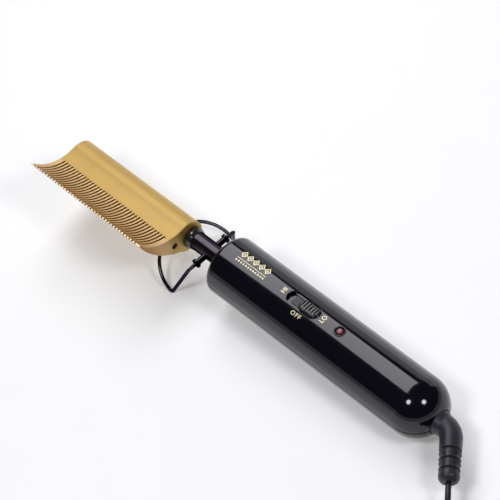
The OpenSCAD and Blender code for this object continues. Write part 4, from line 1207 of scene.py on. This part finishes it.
# %% Lozenge border
LOZENGE, HEART, DOT, HOLLOWED = np.array([2.0, 2.3]), np.array([0.62, 0.75]), np.array([0.62, 0.7]), 0.62


def diamond(middle, half, inner=0.0, parts=4):
    """Lozenge [x, arc] between its outer size and inner times that size: its four
    edges are cut into parts so that they bend with the shell."""
    corners = np.array([[1, 0], [0, 1], [-1, 0], [0, -1], [1, 0]], float)
    t = np.linspace(0, 1, parts, endpoint=False)[:, None]
    rim = np.concatenate([a + (b - a) * t for a, b in zip(corners, corners[1:])])
    m = len(rim)
    points = np.concatenate([rim, rim * inner]) * half + middle
    i = np.arange(m)
    quads = np.column_stack([i, i + m, (i + 1) % m + m, (i + 1) % m])
    if inner == 0.0:
        points = np.concatenate([rim * half + middle, [middle]])
        quads = np.column_stack([i, np.full(m, m), (i + 1) % m])
    return points, quads.tolist()


def stamped_set(name, shapes):
    """Several flat shapes stamped as one piece."""
    points, faces = [], []
    for shape, quads in shapes:
        at = sum(len(p) for p in points)
        faces += [[at + v for v in q] for q in quads]
        points.append(shape)
    return stamped(name, np.concatenate(points), faces)


def bar_shape(x0, x1, a0, a1):
    """Bar [x, arc] from x0 to x1 and from a0 to a1, cut into pieces of 2 mm at most."""
    n = max(1, int(np.ceil((x1 - x0) / 2)))
    x = np.linspace(x0, x1, n + 1)
    points = np.concatenate([np.column_stack([x, np.full(n + 1, arc)]) for arc in (a0, a1)])
    i = np.arange(n)
    return points, np.column_stack([i, i + n + 1, i + n + 2, i + 1]).tolist()


row = [np.array([x, -2.9]) for x in 13.9 + 4.2 * np.arange(5)]
dot_row = [np.array([x, 2.0]) for x in np.arange(12.6, 32.9, 1.75)]
border = stamped_set("lozenge_border", [diamond(at, LOZENGE, HOLLOWED) for at in row]
                     + [diamond(at, HEART) for at in row])
rule = stamped_set("border_rule", [bar_shape(11.8, 32.8, 0.3, 0.6)] + [diamond(at, DOT) for at in dot_row])
print("ornament:", len(border.data.polygons) + len(rule.data.polygons), "faces")

# %% [markdown]
# ## Table, sky and lamps
# The table is plain and pale and catches the shadow. Further out it turns into a
# backdrop that shines by itself, so that no lamp leaves a mark on it, and rises where
# it would meet the horizon. A polished black handle shows little colour of its own:
# what gives it its shape are the reflections of the lamps. A long soft box draws the
# broad band along its top, a lower panel draws the second band on the far side, the
# gap between them stays dark, and two round lamps end as two spots on the round end.

# %% Table
# what the table shines by itself: where it is seen nearby, and far out, and to mirrors
FLOOR_SEEN, FLOOR_FAR, FLOOR_MIRRORED, FAR_MIRRORED = 0.22, 0.92, 0.40, 0.55
flat_r, edge_r, table_rise, table_gap = 2.0, 5.0, 0.09, 0.05 * MM
table = bpy.data.meshes.new("table")
r = np.concatenate([[1.5], np.linspace(flat_r, edge_r, 25)])[:, None]
a = np.linspace(0, 2 * np.pi, 96, endpoint=False)
rise = table_rise * np.clip(r - flat_r, 0, None) ** 2 - table_gap
disc = np.stack([r * np.cos(a), r * np.sin(a), np.broadcast_to(rise, (26, 96))], axis=-1)
k = np.arange(26 * 96).reshape(26, 96)
table.from_pydata(disc.reshape(-1, 3).tolist(), [], [k[0].tolist()] + ring_quads(k).reshape(-1, 4).tolist())
table_top = add_object("table", table)
paint, flow, shader = start_finish("pale_table", Roughness=0.9, Specular_IOR_Level=0.0, Emission_Strength=1.0)
grain = noise(flow, place_of(flow), 40.0, 3.0)
from_middle = flow.add("ShaderNodeVectorMath", {"operation": "LENGTH"}, out=1, i0=place_of(flow))
far = flow.add("ShaderNodeMapRange", {"interpolation_type": "SMOOTHSTEP"}, Value=from_middle,
               From_Min=0.4, From_Max=0.95)
near_tone = grain.mix(srgb(236, 237, 240), srgb(240, 241, 243))
flow.put(shader.inputs["Base Color"], far.mix(near_tone, (0.0, 0.0, 0.0)))
seen = flow.add("ShaderNodeLightPath", out=0)
mirrored = flow.add("ShaderNodeLightPath", out=3)
flow.put(shader.inputs["Emission Color"], seen * (far * (FLOOR_FAR - FLOOR_SEEN) + FLOOR_SEEN)
         + mirrored * (far * (FAR_MIRRORED - FLOOR_MIRRORED) + FLOOR_MIRRORED))
table_top.data.materials.append(paint)
print("table:", len(table.polygons), "faces")

# %% Sky: pale to the camera and through clear plastic, dark to mirrors and as a light
world = bpy.data.worlds.new("studio")
bpy.context.scene.world = world
world.use_nodes = True
backdrop = world.node_tree.nodes["Background"]
flow = Flow(world.node_tree)
seen = flow.add("ShaderNodeLightPath", out=0)
through = flow.add("ShaderNodeLightPath", out=4)
flow.put(backdrop.inputs["Color"], (seen + through).clamped().mix((0.052, 0.048, 0.06), (0.9, 0.91, 0.93)))
bpy.context.scene.view_settings.view_transform = "Standard"
print("sky:", world.name)

# %% Lamps


def soft_box(name, towards, distance, width, length, radiance, shape="RECTANGLE", at=75.0):
    """Area lamp that faces the point of the handle's axis at mm behind its rim, from the
    direction towards (in the handle's own axes), with its length along the handle. Its
    power is 4 times its radiance times its area, and an ellipse fills pi / 4 of its box."""
    middle = on_handle([at, 0.0, 0.0])
    back = TURN @ (np.asarray(towards, float) / np.linalg.norm(towards))
    y = ALONG - back * (ALONG @ back)
    y /= np.linalg.norm(y)
    lamp = bpy.data.lights.new(name, "AREA")
    lamp.shape = shape
    lamp.size, lamp.size_y = width, length
    area = width * length * (1.0 if shape == "RECTANGLE" else np.pi / 4)
    lamp.energy = 4.0 * radiance * area
    lamp_object = bpy.data.objects.new(name, lamp)
    lamp_object.visible_camera = False
    bpy.context.scene.collection.objects.link(lamp_object)
    seat = np.eye(4)
    seat[:3, :3] = np.stack([np.cross(y, back), y, back], axis=1)
    seat[:3, 3] = middle + distance * back
    lamp_object.matrix_world = Matrix(seat.tolist())
    return lamp_object


soft_box("long_box", (-0.534, 0.229, 0.813), 0.95, 0.85, 0.46, 3.25)
soft_box("side_panel", (-0.534, 0.816, 0.219), 1.0, 0.56, 1.6, 0.68)
soft_box("round_lamp_1", (-0.021, -0.507, 0.862), 1.0, 0.24, 0.24, 14.0, "ELLIPSE", 133.5)
soft_box("round_lamp_2", (0.601, 0.076, 0.796), 1.0, 0.24, 0.24, 14.0, "ELLIPSE", 133.5)
print("lamps:", [l.name for l in bpy.data.lights])
